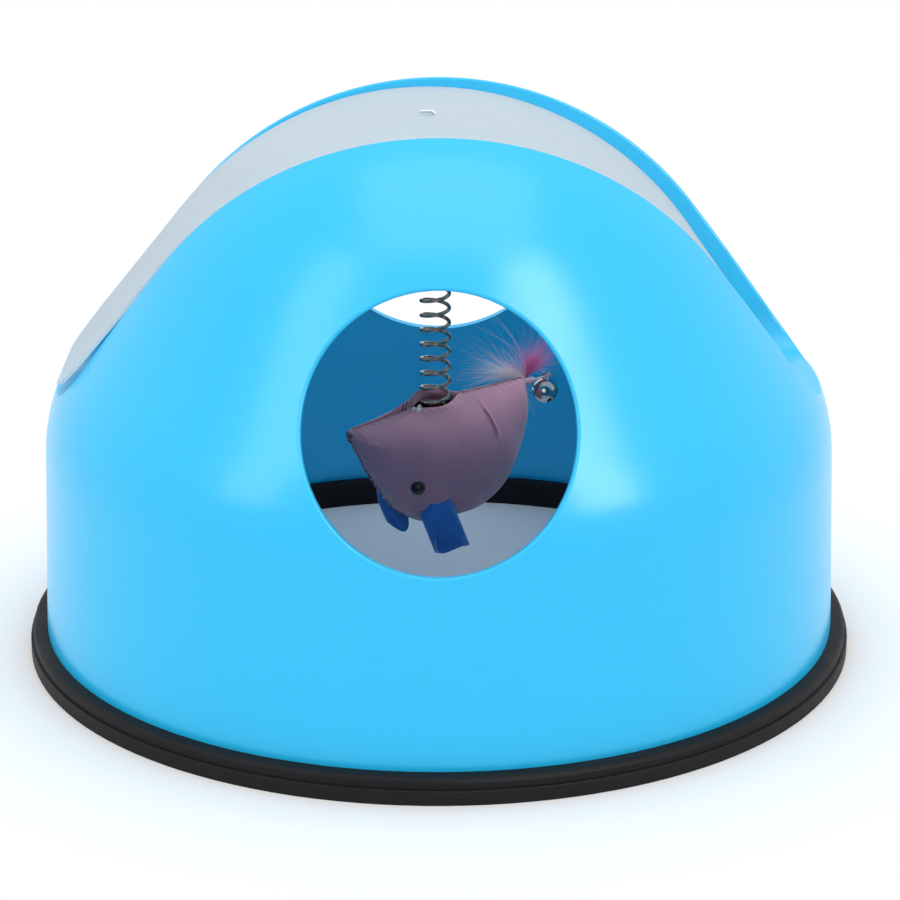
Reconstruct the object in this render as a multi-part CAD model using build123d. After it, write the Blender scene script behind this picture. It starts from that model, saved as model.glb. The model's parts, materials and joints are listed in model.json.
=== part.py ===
from build123d import *
import math
import os

# Cat toy in millimetres: a plush mouse hangs on a coil spring inside a round dome.
# The origin is the middle of the base ring's underside, +Z is up, the front paw hole
# faces -Y and the roof slot runs along X.

# Driving dimensions

# Cuts run this far past what they cut
OVERRUN = 5.0

# Dome shell, measured on its outer face
WAIST_RADIUS = 119.9
WAIST_HEIGHT = 63.9
FOOT_FLARE = 2.3
SHOULDER_RADIUS = 52.0
SLOPE_LEAN = 33.1
CROWN_RADIUS = 103.0
SHELL_WALL = 3.0
EDGE_ROUND = 0.8

# Paw holes, on axes that rise towards the outside
HOLE_RADIUS = 37.4
HOLE_TILT = 10.0
HOLE_RISE = 16.6

# Roof slot, a tapered U seen along X, with a rim that is turned inwards
SLOT_RISE = 18.6
SLOT_FLOOR_WIDTH = 57.0
SLOT_CROWN_WIDTH = 86.0
SLOT_SIDE_BOW = 1.6
SLOT_CORNER = 13.0
SLOT_RIM_DEPTH = 6.0
SLOT_RIM_WALL = 2.4

# Base ring, a rubber channel that grips the shell's foot
RING_PROUD = 4.9
RING_INSET = 7.2
RING_HEIGHT = 7.8
RING_LIP_HEIGHT = 8.6
RING_STEP_HEIGHT = 4.4
RING_STEP_DEPTH = 0.8
RING_WEB = 2.4
RING_CLEARANCE = 0.15
RING_TOP_ROUND = 1.4
RING_SMALL_ROUND = 0.4

# Roof strip, a sheet bent to an arch and let into the slot
STRIP_THICKNESS = 1.2
STRIP_DROP = 2.6
STRIP_ARCH_INSET = 3.3
STRIP_SHIFT = 3.3
STRIP_SIDE_GAP = 0.4
STRIP_END_GAP = 4.0
# How much more the strip's legs lean than the shell's slope, at the left and at the right
STRIP_LEFT_SPREAD = 6.6
STRIP_RIGHT_SPREAD = 2.4

# Lugs inside the shell that carry the strip
LUG_LENGTH = 9.0
LUG_THICKNESS = 2.2
LUG_REACH = 3.2
LUG_ROOT = 3.6
LUG_RISE = 10.0
LUG_ANGLES = (-46.0, -23.0, 0.0, 23.0, 46.0)

# Swivel pin, a bent wire that turns in the strip
SWIVEL_X = -1.1
PIN_WIRE = 1.0
PIN_RUNNING_GAP = 0.08
PIN_HEAD_LENGTH = 4.4
PIN_BEND = 1.1
PIN_NECK = 1.0
EYE_RADIUS = 2.4
EYE_BEND = 1.5
EYE_SWEEP = 285.0

# Spring
SPRING_DIAMETER = 9.7
SPRING_WIRE = 1.2
SPRING_TURNS = 17.5
SPRING_BEND = 2.0
HOOK_GAP = 0.12

# Mouse, hung belly up: its own X runs from nose to tail along the belly
MOUSE_HANG = 82.15
MOUSE_YAW = 25.0
MOUSE_TILT = 8.8
MOUSE_LENGTH = 60.0
MOUSE_NOSE_SHARE = 0.4933
MOUSE_DEPTH = 36.6
MOUSE_WIDTH = 28.0
MOUSE_CLOTH = 1.0
FILLING_EASE = 0.05
# Sections from nose to tail: place along the body, depth and width
MOUSE_PLACE_SHARES = (0.0, 0.075, 0.185, 0.36, 0.58, 0.76, 0.89, 1.0)
MOUSE_DEPTH_SHARES = (0.12, 0.43, 0.79, 0.985, 1.0, 0.885, 0.62, 0.25)
MOUSE_WIDTH_SHARES = (0.12, 0.42, 0.75, 0.97, 1.0, 0.86, 0.54, 0.2)

# Slit in the belly and the glue plug under the spring's foot
SLIT_LENGTH = 15.0
SLIT_ROOM = 0.7
SPRING_DEPTH_IN_MOUSE = 7.0
PLUG_THICKNESS = 4.0

# Felt ears, curled along their length; shares are of the mouse's length, width and depth
EAR_LENGTH = 14.5
EAR_WIDTH = 9.0
EAR_CURL = 3.0
EAR_FELT = 1.3
EAR_ROUND = 3.0
EAR_SINK = 5.0
EAR_LEAN = 14.0
NEAR_EAR_SWEEP = 16.0
FAR_EAR_SWEEP = 20.0
NEAR_EAR_SHARES = (-0.15, 0.35, 0.77)
FAR_EAR_SHARES = (-0.21, 0.33, 0.79)

# Bead eyes
EYE_BEAD_RADIUS = 2.3
EYE_SHARES = (-0.24, 0.41, 0.53)

# Tail: a thread binding, two feathers and the thread that the bell hangs on
TAIL_DEPTH = 1.6
BINDING_RADIUS = 1.7
BINDING_LENGTH = 4.0
BINDING_RIB = 0.25
BINDING_TURNS = 5
BELL_THREAD = 0.9
BELL_PLACE = 7.6
KNOT_RADIUS = 0.9
KNOT_REACH = 1.8

# Jingle bell
BELL_RADIUS = 3.9
BELL_WALL = 0.4
BELL_RIM_WIDTH = 0.2
BELL_RIM_HEIGHT = 0.5
BELL_SLIT_WIDTH = 0.9
BELL_SLIT_REACH = 2.7
SHANK_WIRE = 0.8
SHANK_RADIUS = 1.7
SHANK_GAP = 0.1
PEA_RADIUS = 1.3
PEA_GAP = 0.2

# Feathers
FEATHER_LENGTH = 27.0
FEATHER_WIDTH = 12.0
FEATHER_THICKNESS = 3.2
PINK_ROOT_SHARE = 0.15
WHITE_ROOT_SHARE = 0.45
FEATHER_PLACE_SHARES = (0.0, 0.3, 0.7, 1.0)
FEATHER_WIDTH_SHARES = (0.16, 0.85, 1.0, 0.3)
PINK_HEADING = 22.0
PINK_RISE = 50.0
WHITE_HEADING = 120.0
WHITE_RISE = 62.0


# Values worked out from the driving dimensions
FOOT_RADIUS = WAIST_RADIUS + FOOT_FLARE
RING_OUTER_RADIUS = FOOT_RADIUS + RING_PROUD
RING_INNER_RADIUS = FOOT_RADIUS - RING_INSET
HOLE_AXIS_HEIGHT = WAIST_HEIGHT + HOLE_RISE
SLOT_FLOOR_HEIGHT = WAIST_HEIGHT + SLOT_RISE
DRAFT = math.atan2(FOOT_FLARE, WAIST_HEIGHT)
LEAN = math.radians(SLOPE_LEAN)
SHOULDER_R = WAIST_RADIUS - SHOULDER_RADIUS * math.cos(DRAFT)
SHOULDER_Z = WAIST_HEIGHT - SHOULDER_RADIUS * math.sin(DRAFT)
CROWN_Z = (
    SHOULDER_Z
    + SHOULDER_RADIUS * math.sin(LEAN)
    + (SHOULDER_R + (SHOULDER_RADIUS - CROWN_RADIUS) * math.cos(LEAN)) / math.tan(LEAN)
    - CROWN_RADIUS * math.sin(LEAN)
)
APEX_HEIGHT = CROWN_Z + CROWN_RADIUS
SLOT_CROWN_HEIGHT = CROWN_Z + math.sqrt(CROWN_RADIUS**2 - (SLOT_CROWN_WIDTH / 2) ** 2)
STRIP_ARCH_RADIUS = CROWN_RADIUS - STRIP_ARCH_INSET
STRIP_ARCH_Z = SLOT_CROWN_HEIGHT - STRIP_DROP - STRIP_ARCH_RADIUS
STRIP_UNDER_RADIUS = STRIP_ARCH_RADIUS - STRIP_THICKNESS
STRIP_TOP_AT_PIN = STRIP_ARCH_Z + math.sqrt(
    STRIP_ARCH_RADIUS**2 - (abs(SWIVEL_X + STRIP_SHIFT) + PIN_WIRE) ** 2
)
SWING_HEIGHT = (
    STRIP_TOP_AT_PIN
    - STRIP_THICKNESS
    - PIN_NECK
    - math.sqrt(EYE_RADIUS**2 + 2 * EYE_RADIUS * EYE_BEND)
    - EYE_RADIUS
)
COIL_RADIUS = (SPRING_DIAMETER - SPRING_WIRE) / 2
MOUSE_BELLY_HEIGHT = SWING_HEIGHT - MOUSE_HANG
MOUSE_NOSE_REACH = MOUSE_LENGTH * MOUSE_NOSE_SHARE
SPRING_FOOT_HEIGHT = MOUSE_BELLY_HEIGHT - SPRING_DEPTH_IN_MOUSE
MOUSE_PLANE = Plane(
    origin=(SWIVEL_X, 0, MOUSE_BELLY_HEIGHT),
    x_dir=(
        math.cos(math.radians(MOUSE_TILT)) * math.cos(math.radians(MOUSE_YAW)),
        math.cos(math.radians(MOUSE_TILT)) * math.sin(math.radians(MOUSE_YAW)),
        math.sin(math.radians(MOUSE_TILT)),
    ),
    z_dir=(
        -math.sin(math.radians(MOUSE_TILT)) * math.cos(math.radians(MOUSE_YAW)),
        -math.sin(math.radians(MOUSE_TILT)) * math.sin(math.radians(MOUSE_YAW)),
        math.cos(math.radians(MOUSE_TILT)),
    ),
)
TAIL_END = MOUSE_LENGTH - MOUSE_NOSE_REACH
BINDING_END = TAIL_END + BINDING_LENGTH
BELL_X = TAIL_END + BELL_PLACE
BELL_DROP = BELL_RADIUS + SHANK_RADIUS - SHANK_WIRE / 2 - BELL_THREAD / 2 - SHANK_GAP


def wall_radius(height, inset):
    """Radius of the shell's upright wall at a height, moved inwards by inset."""
    return FOOT_RADIUS - height * math.tan(DRAFT) - inset / math.cos(DRAFT)


def dome_solid(inset, foot):
    """Dome inside the shell's outer face moved inwards by inset, down to the height foot."""
    shoulder = SHOULDER_RADIUS - inset
    crown = CROWN_RADIUS - inset
    middle = (DRAFT + LEAN) / 2
    upper = (LEAN + math.pi / 2) / 2

    def on_shoulder(angle):
        return (SHOULDER_R + shoulder * math.cos(angle), 0, SHOULDER_Z + shoulder * math.sin(angle))

    def on_crown(angle):
        return (crown * math.cos(angle), 0, CROWN_Z + crown * math.sin(angle))

    top = (0, 0, CROWN_Z + crown)
    edges = [
        Line((0, 0, foot), (wall_radius(foot, inset), 0, foot)),
        Line((wall_radius(foot, inset), 0, foot), on_shoulder(DRAFT)),
        ThreePointArc(on_shoulder(DRAFT), on_shoulder(middle), on_shoulder(LEAN)),
        Line(on_shoulder(LEAN), on_crown(LEAN)),
        ThreePointArc(on_crown(LEAN), on_crown(upper), top),
        Line(top, (0, 0, foot)),
    ]
    return revolve(make_face(edges), axis=Axis.Z)


def slot_half_width(height):
    """Half the roof slot's width at a height, without the bow of its sides."""
    share = (height - SLOT_FLOOR_HEIGHT) / (SLOT_CROWN_HEIGHT - SLOT_FLOOR_HEIGHT)
    return (SLOT_FLOOR_WIDTH + share * (SLOT_CROWN_WIDTH - SLOT_FLOOR_WIDTH)) / 2


def slot_prism(side_gap, end_gap):
    """Tapered U along X, drawn in by side_gap at its sides and raised by end_gap at its floor."""
    floor = SLOT_FLOOR_HEIGHT + end_gap
    top = APEX_HEIGHT + OVERRUN
    low = slot_half_width(floor) - side_gap
    high = slot_half_width(top) - side_gap
    edges = [
        Line((0, -low, floor), (0, low, floor)),
        side_arc(low, floor, high, top, 1),
        Line((0, high, top), (0, -high, top)),
        side_arc(low, floor, high, top, -1),
    ]
    outline = make_face(edges)
    corners = outline.vertices().sort_by(Axis.Z)[:2]
    outline = fillet(corners, SLOT_CORNER - side_gap)
    return extrude(outline, FOOT_RADIUS + OVERRUN, both=True, dir=(1, 0, 0))


def side_arc(low, floor, high, top, side):
    """One bowed side of the slot's outline."""
    lean = math.atan2(high - low, top - floor)
    middle_y = (low + high) / 2 - SLOT_SIDE_BOW * math.cos(lean)
    middle_z = (floor + top) / 2 + SLOT_SIDE_BOW * math.sin(lean)
    return ThreePointArc((0, side * low, floor), (0, side * middle_y, middle_z), (0, side * high, top))


def paw_hole(side):
    """Cylinder of a paw hole: side is -1 at the front and 1 at the rear."""
    tilt = math.radians(HOLE_TILT)
    plane = Plane(
        origin=(0, 0, HOLE_AXIS_HEIGHT),
        x_dir=(1, 0, 0),
        z_dir=(0, side * math.cos(tilt), math.sin(tilt)),
    )
    length = FOOT_RADIUS + OVERRUN
    return plane * Cylinder(HOLE_RADIUS, length, align=(Align.CENTER, Align.CENTER, Align.MIN))


def arch_point(radius, angle):
    """Point of the strip's arch at a radius and an angle from upright, in the XZ plane."""
    turn = math.radians(angle)
    return (-STRIP_SHIFT + radius * math.sin(turn), 0, STRIP_ARCH_Z + radius * math.cos(turn))


def arch_sector(inner, outer, angle, length):
    """Piece of a ring about the strip's arch axis, one lug long, as a face in the XZ plane."""
    half = math.degrees(length / STRIP_ARCH_RADIUS) / 2
    edges = [
        ThreePointArc(*[arch_point(outer, angle + share * half) for share in (-1, 0, 1)]),
        Line(arch_point(outer, angle + half), arch_point(inner, angle + half)),
        ThreePointArc(*[arch_point(inner, angle + share * half) for share in (1, 0, -1)]),
        Line(arch_point(inner, angle - half), arch_point(outer, angle - half)),
    ]
    return make_face(edges)


def lug(angle, side):
    """Lug under one edge of the strip: a shelf below it and a root that rises to the shell."""
    edge = slot_half_width(arch_point(STRIP_UNDER_RADIUS, angle)[2])
    low = STRIP_UNDER_RADIUS - LUG_THICKNESS
    shelf = extrude(
        arch_sector(low, STRIP_UNDER_RADIUS, angle, LUG_LENGTH), LUG_REACH + LUG_ROOT, dir=(0, side, 0)
    )
    root = extrude(
        arch_sector(low, STRIP_UNDER_RADIUS + LUG_RISE, angle, LUG_LENGTH), LUG_ROOT, dir=(0, side, 0)
    )
    return Pos(0, side * (edge - LUG_REACH), 0) * shelf + Pos(0, side * edge, 0) * root


def is_rim(edge):
    """True for an edge of a paw hole or the slot on the shell's outer face."""
    points = [edge.position_at(share) for share in (0.25, 0.5, 0.75)]
    heights = [point.Z for point in points]
    level = max(heights) - min(heights) < RING_CLEARANCE
    meridian = max(abs(point.Y) for point in points) < RING_CLEARANCE
    outside = all(abs(outer_gap(point)) < RING_CLEARANCE for point in points)
    return outside and not level and not meridian


def outer_gap(point):
    """How far a point lies inside the shell's outer face."""
    radius = math.hypot(point.X, point.Y)
    slope_foot = SHOULDER_Z + SHOULDER_RADIUS * math.sin(LEAN)
    slope_top = CROWN_Z + CROWN_RADIUS * math.sin(LEAN)
    if point.Z > slope_top:
        return CROWN_RADIUS - math.hypot(radius, point.Z - CROWN_Z)
    if point.Z > slope_foot:
        return CROWN_RADIUS - radius * math.cos(LEAN) - (point.Z - CROWN_Z) * math.sin(LEAN)
    if point.Z > WAIST_HEIGHT:
        return SHOULDER_RADIUS - math.hypot(radius - SHOULDER_R, point.Z - SHOULDER_Z)
    return wall_radius(point.Z, 0) - radius


def dome_shell():
    """Moulded dome with two paw holes, the slot with its rim and the lugs that carry the strip."""
    rim = slot_prism(-SLOT_RIM_WALL, -SLOT_RIM_WALL) - dome_solid(SLOT_RIM_DEPTH, RING_WEB)
    hollow = dome_solid(SHELL_WALL, RING_WEB - OVERRUN) - rim
    shell = dome_solid(0, RING_WEB) - hollow - paw_hole(-1) - paw_hole(1) - slot_prism(0, 0)
    shell = fillet(shell.edges().filter_by(is_rim), EDGE_ROUND)
    lugs = [lug(angle, side) for angle in LUG_ANGLES for side in (-1, 1)]
    lugs = Part() + lugs
    return shell + (lugs & dome_solid(EDGE_ROUND, RING_WEB))


def roof_strip():
    """Bent sheet: an arch with two straight legs, cut to the slot's outline."""
    left = math.degrees(LEAN - math.pi / 2) + STRIP_LEFT_SPREAD
    right = math.degrees(math.pi / 2 - LEAN) - STRIP_RIGHT_SPREAD

    def leg_end(radius, angle):
        x, _, z = arch_point(radius, angle)
        turn = math.radians(angle)
        reach = SLOT_CROWN_HEIGHT - SLOT_FLOOR_HEIGHT
        return (x + math.copysign(reach, angle) * math.cos(turn), 0, z - reach * abs(math.sin(turn)))

    outer, inner = STRIP_ARCH_RADIUS, STRIP_UNDER_RADIUS
    edges = [
        ThreePointArc(*[arch_point(outer, angle) for angle in (left, 0, right)]),
        Line(arch_point(outer, right), leg_end(outer, right)),
        Line(leg_end(outer, right), leg_end(inner, right)),
        Line(leg_end(inner, right), arch_point(inner, right)),
        ThreePointArc(*[arch_point(inner, angle) for angle in (right, 0, left)]),
        Line(arch_point(inner, left), leg_end(inner, left)),
        Line(leg_end(inner, left), leg_end(outer, left)),
        Line(leg_end(outer, left), arch_point(outer, left)),
    ]
    sheet = extrude(make_face(edges), SLOT_CROWN_WIDTH, both=True, dir=(0, 1, 0))
    sheet = sheet & slot_prism(STRIP_SIDE_GAP, STRIP_END_GAP)
    hole = Cylinder(PIN_WIRE / 2 + PIN_RUNNING_GAP, APEX_HEIGHT)
    return sheet - Pos(SWIVEL_X, 0, APEX_HEIGHT) * hole


def base_ring():
    """Rubber channel: a web under the shell's foot, an outer flange with a step and an inner lip."""
    step_radius = RING_OUTER_RADIUS - RING_STEP_DEPTH
    outer_face = -RING_CLEARANCE
    inner_face = SHELL_WALL + RING_CLEARANCE
    points = [
        (RING_INNER_RADIUS, 0, 0),
        (RING_OUTER_RADIUS, 0, 0),
        (RING_OUTER_RADIUS, 0, RING_STEP_HEIGHT),
        (step_radius, 0, RING_STEP_HEIGHT),
        (step_radius, 0, RING_HEIGHT),
        (wall_radius(RING_HEIGHT, outer_face), 0, RING_HEIGHT),
        (wall_radius(RING_WEB, outer_face), 0, RING_WEB),
        (wall_radius(RING_WEB, inner_face), 0, RING_WEB),
        (wall_radius(RING_LIP_HEIGHT, inner_face), 0, RING_LIP_HEIGHT),
        (RING_INNER_RADIUS, 0, RING_LIP_HEIGHT),
    ]
    ring = revolve(make_face(Polyline(*points, close=True)), axis=Axis.Z)

    def circle_at(radius, height):
        def matches(edge):
            at = edge.position_at(0)
            return math.isclose(at.Z, height, abs_tol=RING_CLEARANCE) and math.isclose(
                math.hypot(at.X, at.Y), radius, abs_tol=RING_CLEARANCE
            )

        return ring.edges().filter_by(matches)

    ring = fillet(circle_at(step_radius, RING_HEIGHT), RING_TOP_ROUND)
    ring = fillet(circle_at(RING_INNER_RADIUS, RING_LIP_HEIGHT), RING_TOP_ROUND)
    return fillet(circle_at(RING_OUTER_RADIUS, RING_STEP_HEIGHT), RING_SMALL_ROUND)


def wire_along(edges, diameter):
    """Round wire swept along tangent edges."""
    path = Wire(edges)
    start = Plane(origin=path.position_at(0), z_dir=path.tangent_at(0))
    return sweep(start * Circle(diameter / 2), path=path)


def swivel_pin():
    """Bent head on the strip, a neck through it and an eye in the YZ plane under it."""
    head_z = STRIP_TOP_AT_PIN + PIN_BEND
    eye_z = SWING_HEIGHT + EYE_RADIUS
    neck_z = eye_z + math.sqrt(EYE_RADIUS**2 + 2 * EYE_RADIUS * EYE_BEND)
    start = math.atan2(neck_z - eye_z, EYE_BEND)

    def on_eye(turn):
        angle = start - math.radians(turn)
        return (SWIVEL_X, EYE_RADIUS * math.cos(angle), eye_z + EYE_RADIUS * math.sin(angle))

    head_start = (SWIVEL_X - PIN_HEAD_LENGTH, 0, head_z)
    head_end = (SWIVEL_X - PIN_BEND, 0, head_z)
    neck_top = (SWIVEL_X, 0, head_z - PIN_BEND)
    neck_end = (SWIVEL_X, 0, neck_z)
    half = EYE_SWEEP / 2
    edges = [
        Line(head_start, head_end),
        TangentArc(head_end, neck_top, tangent=(1, 0, 0)),
        Line(neck_top, neck_end),
        TangentArc(neck_end, on_eye(0), tangent=(0, 0, -1)),
        ThreePointArc(on_eye(0), on_eye(half / 2), on_eye(half)),
        ThreePointArc(on_eye(half), on_eye(half + half / 2), on_eye(EYE_SWEEP)),
    ]
    return wire_along(edges, PIN_WIRE)


def biarc(start, start_tangent, end, end_tangent):
    """Two tangent arcs between two points with given directions."""
    gap = end - start
    both = start_tangent + end_tangent
    spread = 2 * (1 - start_tangent.dot(end_tangent))
    along = gap.dot(both)
    reach = (math.sqrt(along**2 + spread * gap.dot(gap)) - along) / spread
    joint = (start + end + (start_tangent - end_tangent) * reach) / 2
    first = TangentArc(start, joint, tangent=start_tangent)
    return [first, TangentArc(joint, end, tangent=first.tangent_at(1))]


def spring_edges():
    """Spring from its foot in the glue, up its turns and over the hook in the swivel pin's eye."""
    hook_top = SWING_HEIGHT + (SPRING_WIRE + PIN_WIRE) / 2 + HOOK_GAP
    slope = math.atan2((hook_top - SPRING_FOOT_HEIGHT) / SPRING_TURNS, 2 * math.pi * COIL_RADIUS)
    bend_run = SPRING_BEND * (1 - math.sin(slope))
    bend_rise = SPRING_BEND * math.cos(slope)
    hook_radius = math.hypot(COIL_RADIUS, bend_run)
    hook_z = hook_top - hook_radius
    last_z = hook_z - bend_rise
    first_z = SPRING_FOOT_HEIGHT + SPRING_WIRE + bend_rise
    last_angle = -math.atan2(bend_run, COIL_RADIUS)
    rise = (last_z - first_z) / (2 * math.pi * SPRING_TURNS)

    def on_coil(angle):
        x = SWIVEL_X + COIL_RADIUS * math.cos(angle)
        return Vector(x, COIL_RADIUS * math.sin(angle), last_z + rise * (angle - last_angle))

    def along_coil(angle):
        return Vector(-COIL_RADIUS * math.sin(angle), COIL_RADIUS * math.cos(angle), rise).normalized()

    quarters = round(4 * SPRING_TURNS)
    angles = [last_angle - (quarters - step) * math.pi / 2 for step in range(quarters + 1)]
    first = on_coil(angles[0])
    level = Vector(along_coil(angles[0]).X, along_coil(angles[0]).Y, 0).normalized()
    foot = first - level * bend_run - Vector(0, 0, bend_rise)
    hook_start = Vector(SWIVEL_X + hook_radius, 0, hook_z)
    hook_end = Vector(SWIVEL_X - hook_radius, 0, hook_z)
    edges = [
        Line(foot - Vector(0, 0, SPRING_WIRE), foot),
        TangentArc(foot, first, tangent=(0, 0, 1)),
    ]
    for low, high in zip(angles, angles[1:]):
        edges += biarc(on_coil(low), along_coil(low), on_coil(high), along_coil(high))
    edges += [
        TangentArc(on_coil(last_angle), hook_start, tangent=along_coil(last_angle)),
        ThreePointArc(hook_start, (SWIVEL_X, 0, hook_top), hook_end),
        Line(hook_end, hook_end - Vector(0, 0, SPRING_WIRE)),
    ]
    return edges


def least_gap(edges, diameter):
    """Least gap of a wire to itself, on points along its path."""
    points = []
    travelled = 0.0
    for edge in edges:
        points += [(travelled + share * edge.length, edge @ share) for share in (0.0, 0.25, 0.5, 0.75)]
        travelled += edge.length
    apart = math.pi * diameter
    gaps = [
        (a - b).length
        for index, (here, a) in enumerate(points)
        for there, b in points[index + 1 :]
        if there - here > apart
    ]
    return min(gaps) - diameter


def mouse_arc(place, depth, width, side, inset):
    """Arc of one side's section from the belly seam to the back seam, in the mouse's frame."""
    x = place * MOUSE_LENGTH - MOUSE_NOSE_REACH
    half = side * (width * MOUSE_WIDTH / 2 - inset)
    keel = -depth * MOUSE_DEPTH
    return ThreePointArc((x, 0, -inset), (x, half, keel / 2), (x, 0, keel + inset))


def mouse_table():
    """Sections of the mouse from nose to tail: place, depth and width."""
    return zip(MOUSE_PLACE_SHARES, MOUSE_DEPTH_SHARES, MOUSE_WIDTH_SHARES)


def mouse_body(inset):
    """Stuffed body in its own frame, drawn in by inset."""
    sections = []
    for row in mouse_table():
        near, far = mouse_arc(*row, -1, inset), mouse_arc(*row, 1, inset)
        sections.append(make_face([near, far]))
    return loft(sections)


def mouse_panel(side):
    """Cloth panel of one side in its own frame, from the belly seam to the back seam."""
    sections = []
    for row in mouse_table():
        outer, inner = mouse_arc(*row, side, 0), mouse_arc(*row, side, MOUSE_CLOTH)
        seams = [Line(outer @ 1, inner @ 1), Line(inner @ 0, outer @ 0)]
        sections.append(make_face([outer, inner, *seams]))
    return loft(sections)


def mouse_spot(side, shares):
    """Place in the mouse's frame from shares of its length, width and depth."""
    length, width, depth = shares
    return Pos(length * MOUSE_LENGTH, side * width * MOUSE_WIDTH, -depth * MOUSE_DEPTH)


def ear(side, shares, sweep, body):
    """Curled felt ear that hangs from one side of the head, in the mouse's frame."""
    half = EAR_WIDTH / 2
    length = EAR_LENGTH + EAR_SINK
    edges = [
        ThreePointArc((-half, 0), (0, EAR_CURL), (half, 0)),
        Line((half, 0), (half, -EAR_FELT)),
        ThreePointArc((half, -EAR_FELT), (0, EAR_CURL - EAR_FELT), (-half, -EAR_FELT)),
        Line((-half, -EAR_FELT), (-half, 0)),
    ]
    outline = Plane.XZ * Pos(0, EAR_SINK - length / 2) * RectangleRounded(EAR_WIDTH, length, EAR_ROUND)
    flap = extrude(make_face(edges), length, both=True) & extrude(outline, EAR_WIDTH, both=True)
    if side < 0:
        flap = Rot(0, 0, 180) * flap
    return mouse_spot(side, shares) * Rot(side * EAR_LEAN, -sweep, 0) * flap - body


def bead_eye(side, body):
    """Half-sunk bead on one cheek, in the mouse's frame."""
    return mouse_spot(side, EYE_SHARES) * Sphere(EYE_BEAD_RADIUS) - body


def tail_binding(body):
    """Wound thread round the tail's end, with rounded turns."""
    turn = BINDING_LENGTH / BINDING_TURNS
    root = TAIL_END - turn
    binding = Cylinder(BINDING_RADIUS, BINDING_LENGTH + turn, align=(Align.CENTER, Align.CENTER, Align.MIN))
    for index in range(BINDING_TURNS):
        rib = Torus(BINDING_RADIUS - BINDING_RIB, turn / 2)
        binding += Pos(0, 0, turn * (index + 1) + turn / 2) * rib
    return Pos(root, 0, -TAIL_DEPTH) * Rot(0, 90, 0) * binding - body


def bell_thread():
    """Short thread from the binding through the bell's shank, with a knot at its end."""
    length = BELL_X + KNOT_REACH - BINDING_END
    rod = Cylinder(BELL_THREAD / 2, length, align=(Align.CENTER, Align.CENTER, Align.MIN))
    knot = Pos(0, 0, length) * Sphere(KNOT_RADIUS)
    return Pos(BINDING_END, 0, -TAIL_DEPTH) * Rot(0, 90, 0) * (rod + knot)


def bell_frame(shape):
    """A bell piece, drawn about the bell's middle, set under its thread at the mouse's tail."""
    hinge = MOUSE_PLANE.from_local_coords(Vector(BELL_X, 0, -TAIL_DEPTH))
    return Pos(hinge.X, hinge.Y, hinge.Z - BELL_DROP) * Rot(0, 0, MOUSE_YAW) * shape


def bell_half(side):
    """Pressed half of the bell: side is 1 above and -1 below, where the slit is."""
    ball = Sphere(BELL_RADIUS) - Sphere(BELL_RADIUS - BELL_WALL)
    rim = Cylinder(BELL_RADIUS + BELL_RIM_WIDTH, 2 * BELL_RIM_HEIGHT) - Sphere(BELL_RADIUS - BELL_WALL)
    room = 2 * (BELL_RADIUS + BELL_RIM_WIDTH)
    above = Box(room, room, room, align=(Align.CENTER, Align.CENTER, Align.MIN))
    half = (ball + rim) & (above if side > 0 else Rot(180, 0, 0) * above)
    if side < 0:
        slit = Box(BELL_SLIT_WIDTH, 2 * BELL_SLIT_REACH, room, align=(Align.CENTER, Align.CENTER, Align.MAX))
        ends = Cylinder(BELL_SLIT_WIDTH, room, align=(Align.CENTER, Align.CENTER, Align.MAX))
        half = half - slit - Pos(0, BELL_SLIT_REACH, 0) * ends - Pos(0, -BELL_SLIT_REACH, 0) * ends
    return half


def bell_shank():
    """Wire loop on top of the bell, round the thread."""
    return Pos(0, 0, BELL_RADIUS) * Rot(0, 90, 0) * Torus(SHANK_RADIUS, SHANK_WIRE / 2) - Sphere(BELL_RADIUS)


def bell_pea():
    """Loose ball that lies in the bell."""
    drop = BELL_RADIUS - BELL_WALL - PEA_RADIUS - PEA_GAP
    return Pos(0, 0, -drop) * Sphere(PEA_RADIUS)


def feather(heading, rise, root_share, binding):
    """Flat plume that tapers to both ends and grows from the binding, in the mouse's frame."""

    def section(place, width):
        half = width * FEATHER_WIDTH / 2
        swell = width * FEATHER_THICKNESS / 2
        x = place * FEATHER_LENGTH
        edges = [
            ThreePointArc((x, -half, 0), (x, 0, swell), (x, half, 0)),
            ThreePointArc((x, half, 0), (x, 0, -swell), (x, -half, 0)),
        ]
        return make_face(edges)

    plume = loft([section(*row) for row in zip(FEATHER_PLACE_SHARES, FEATHER_WIDTH_SHARES)])
    root = Pos(BINDING_END - root_share * BINDING_LENGTH, 0, BINDING_RADIUS / 2 - TAIL_DEPTH)
    return root * Rot(0, 0, heading) * Rot(0, -rise, 0) * plume - binding


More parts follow.
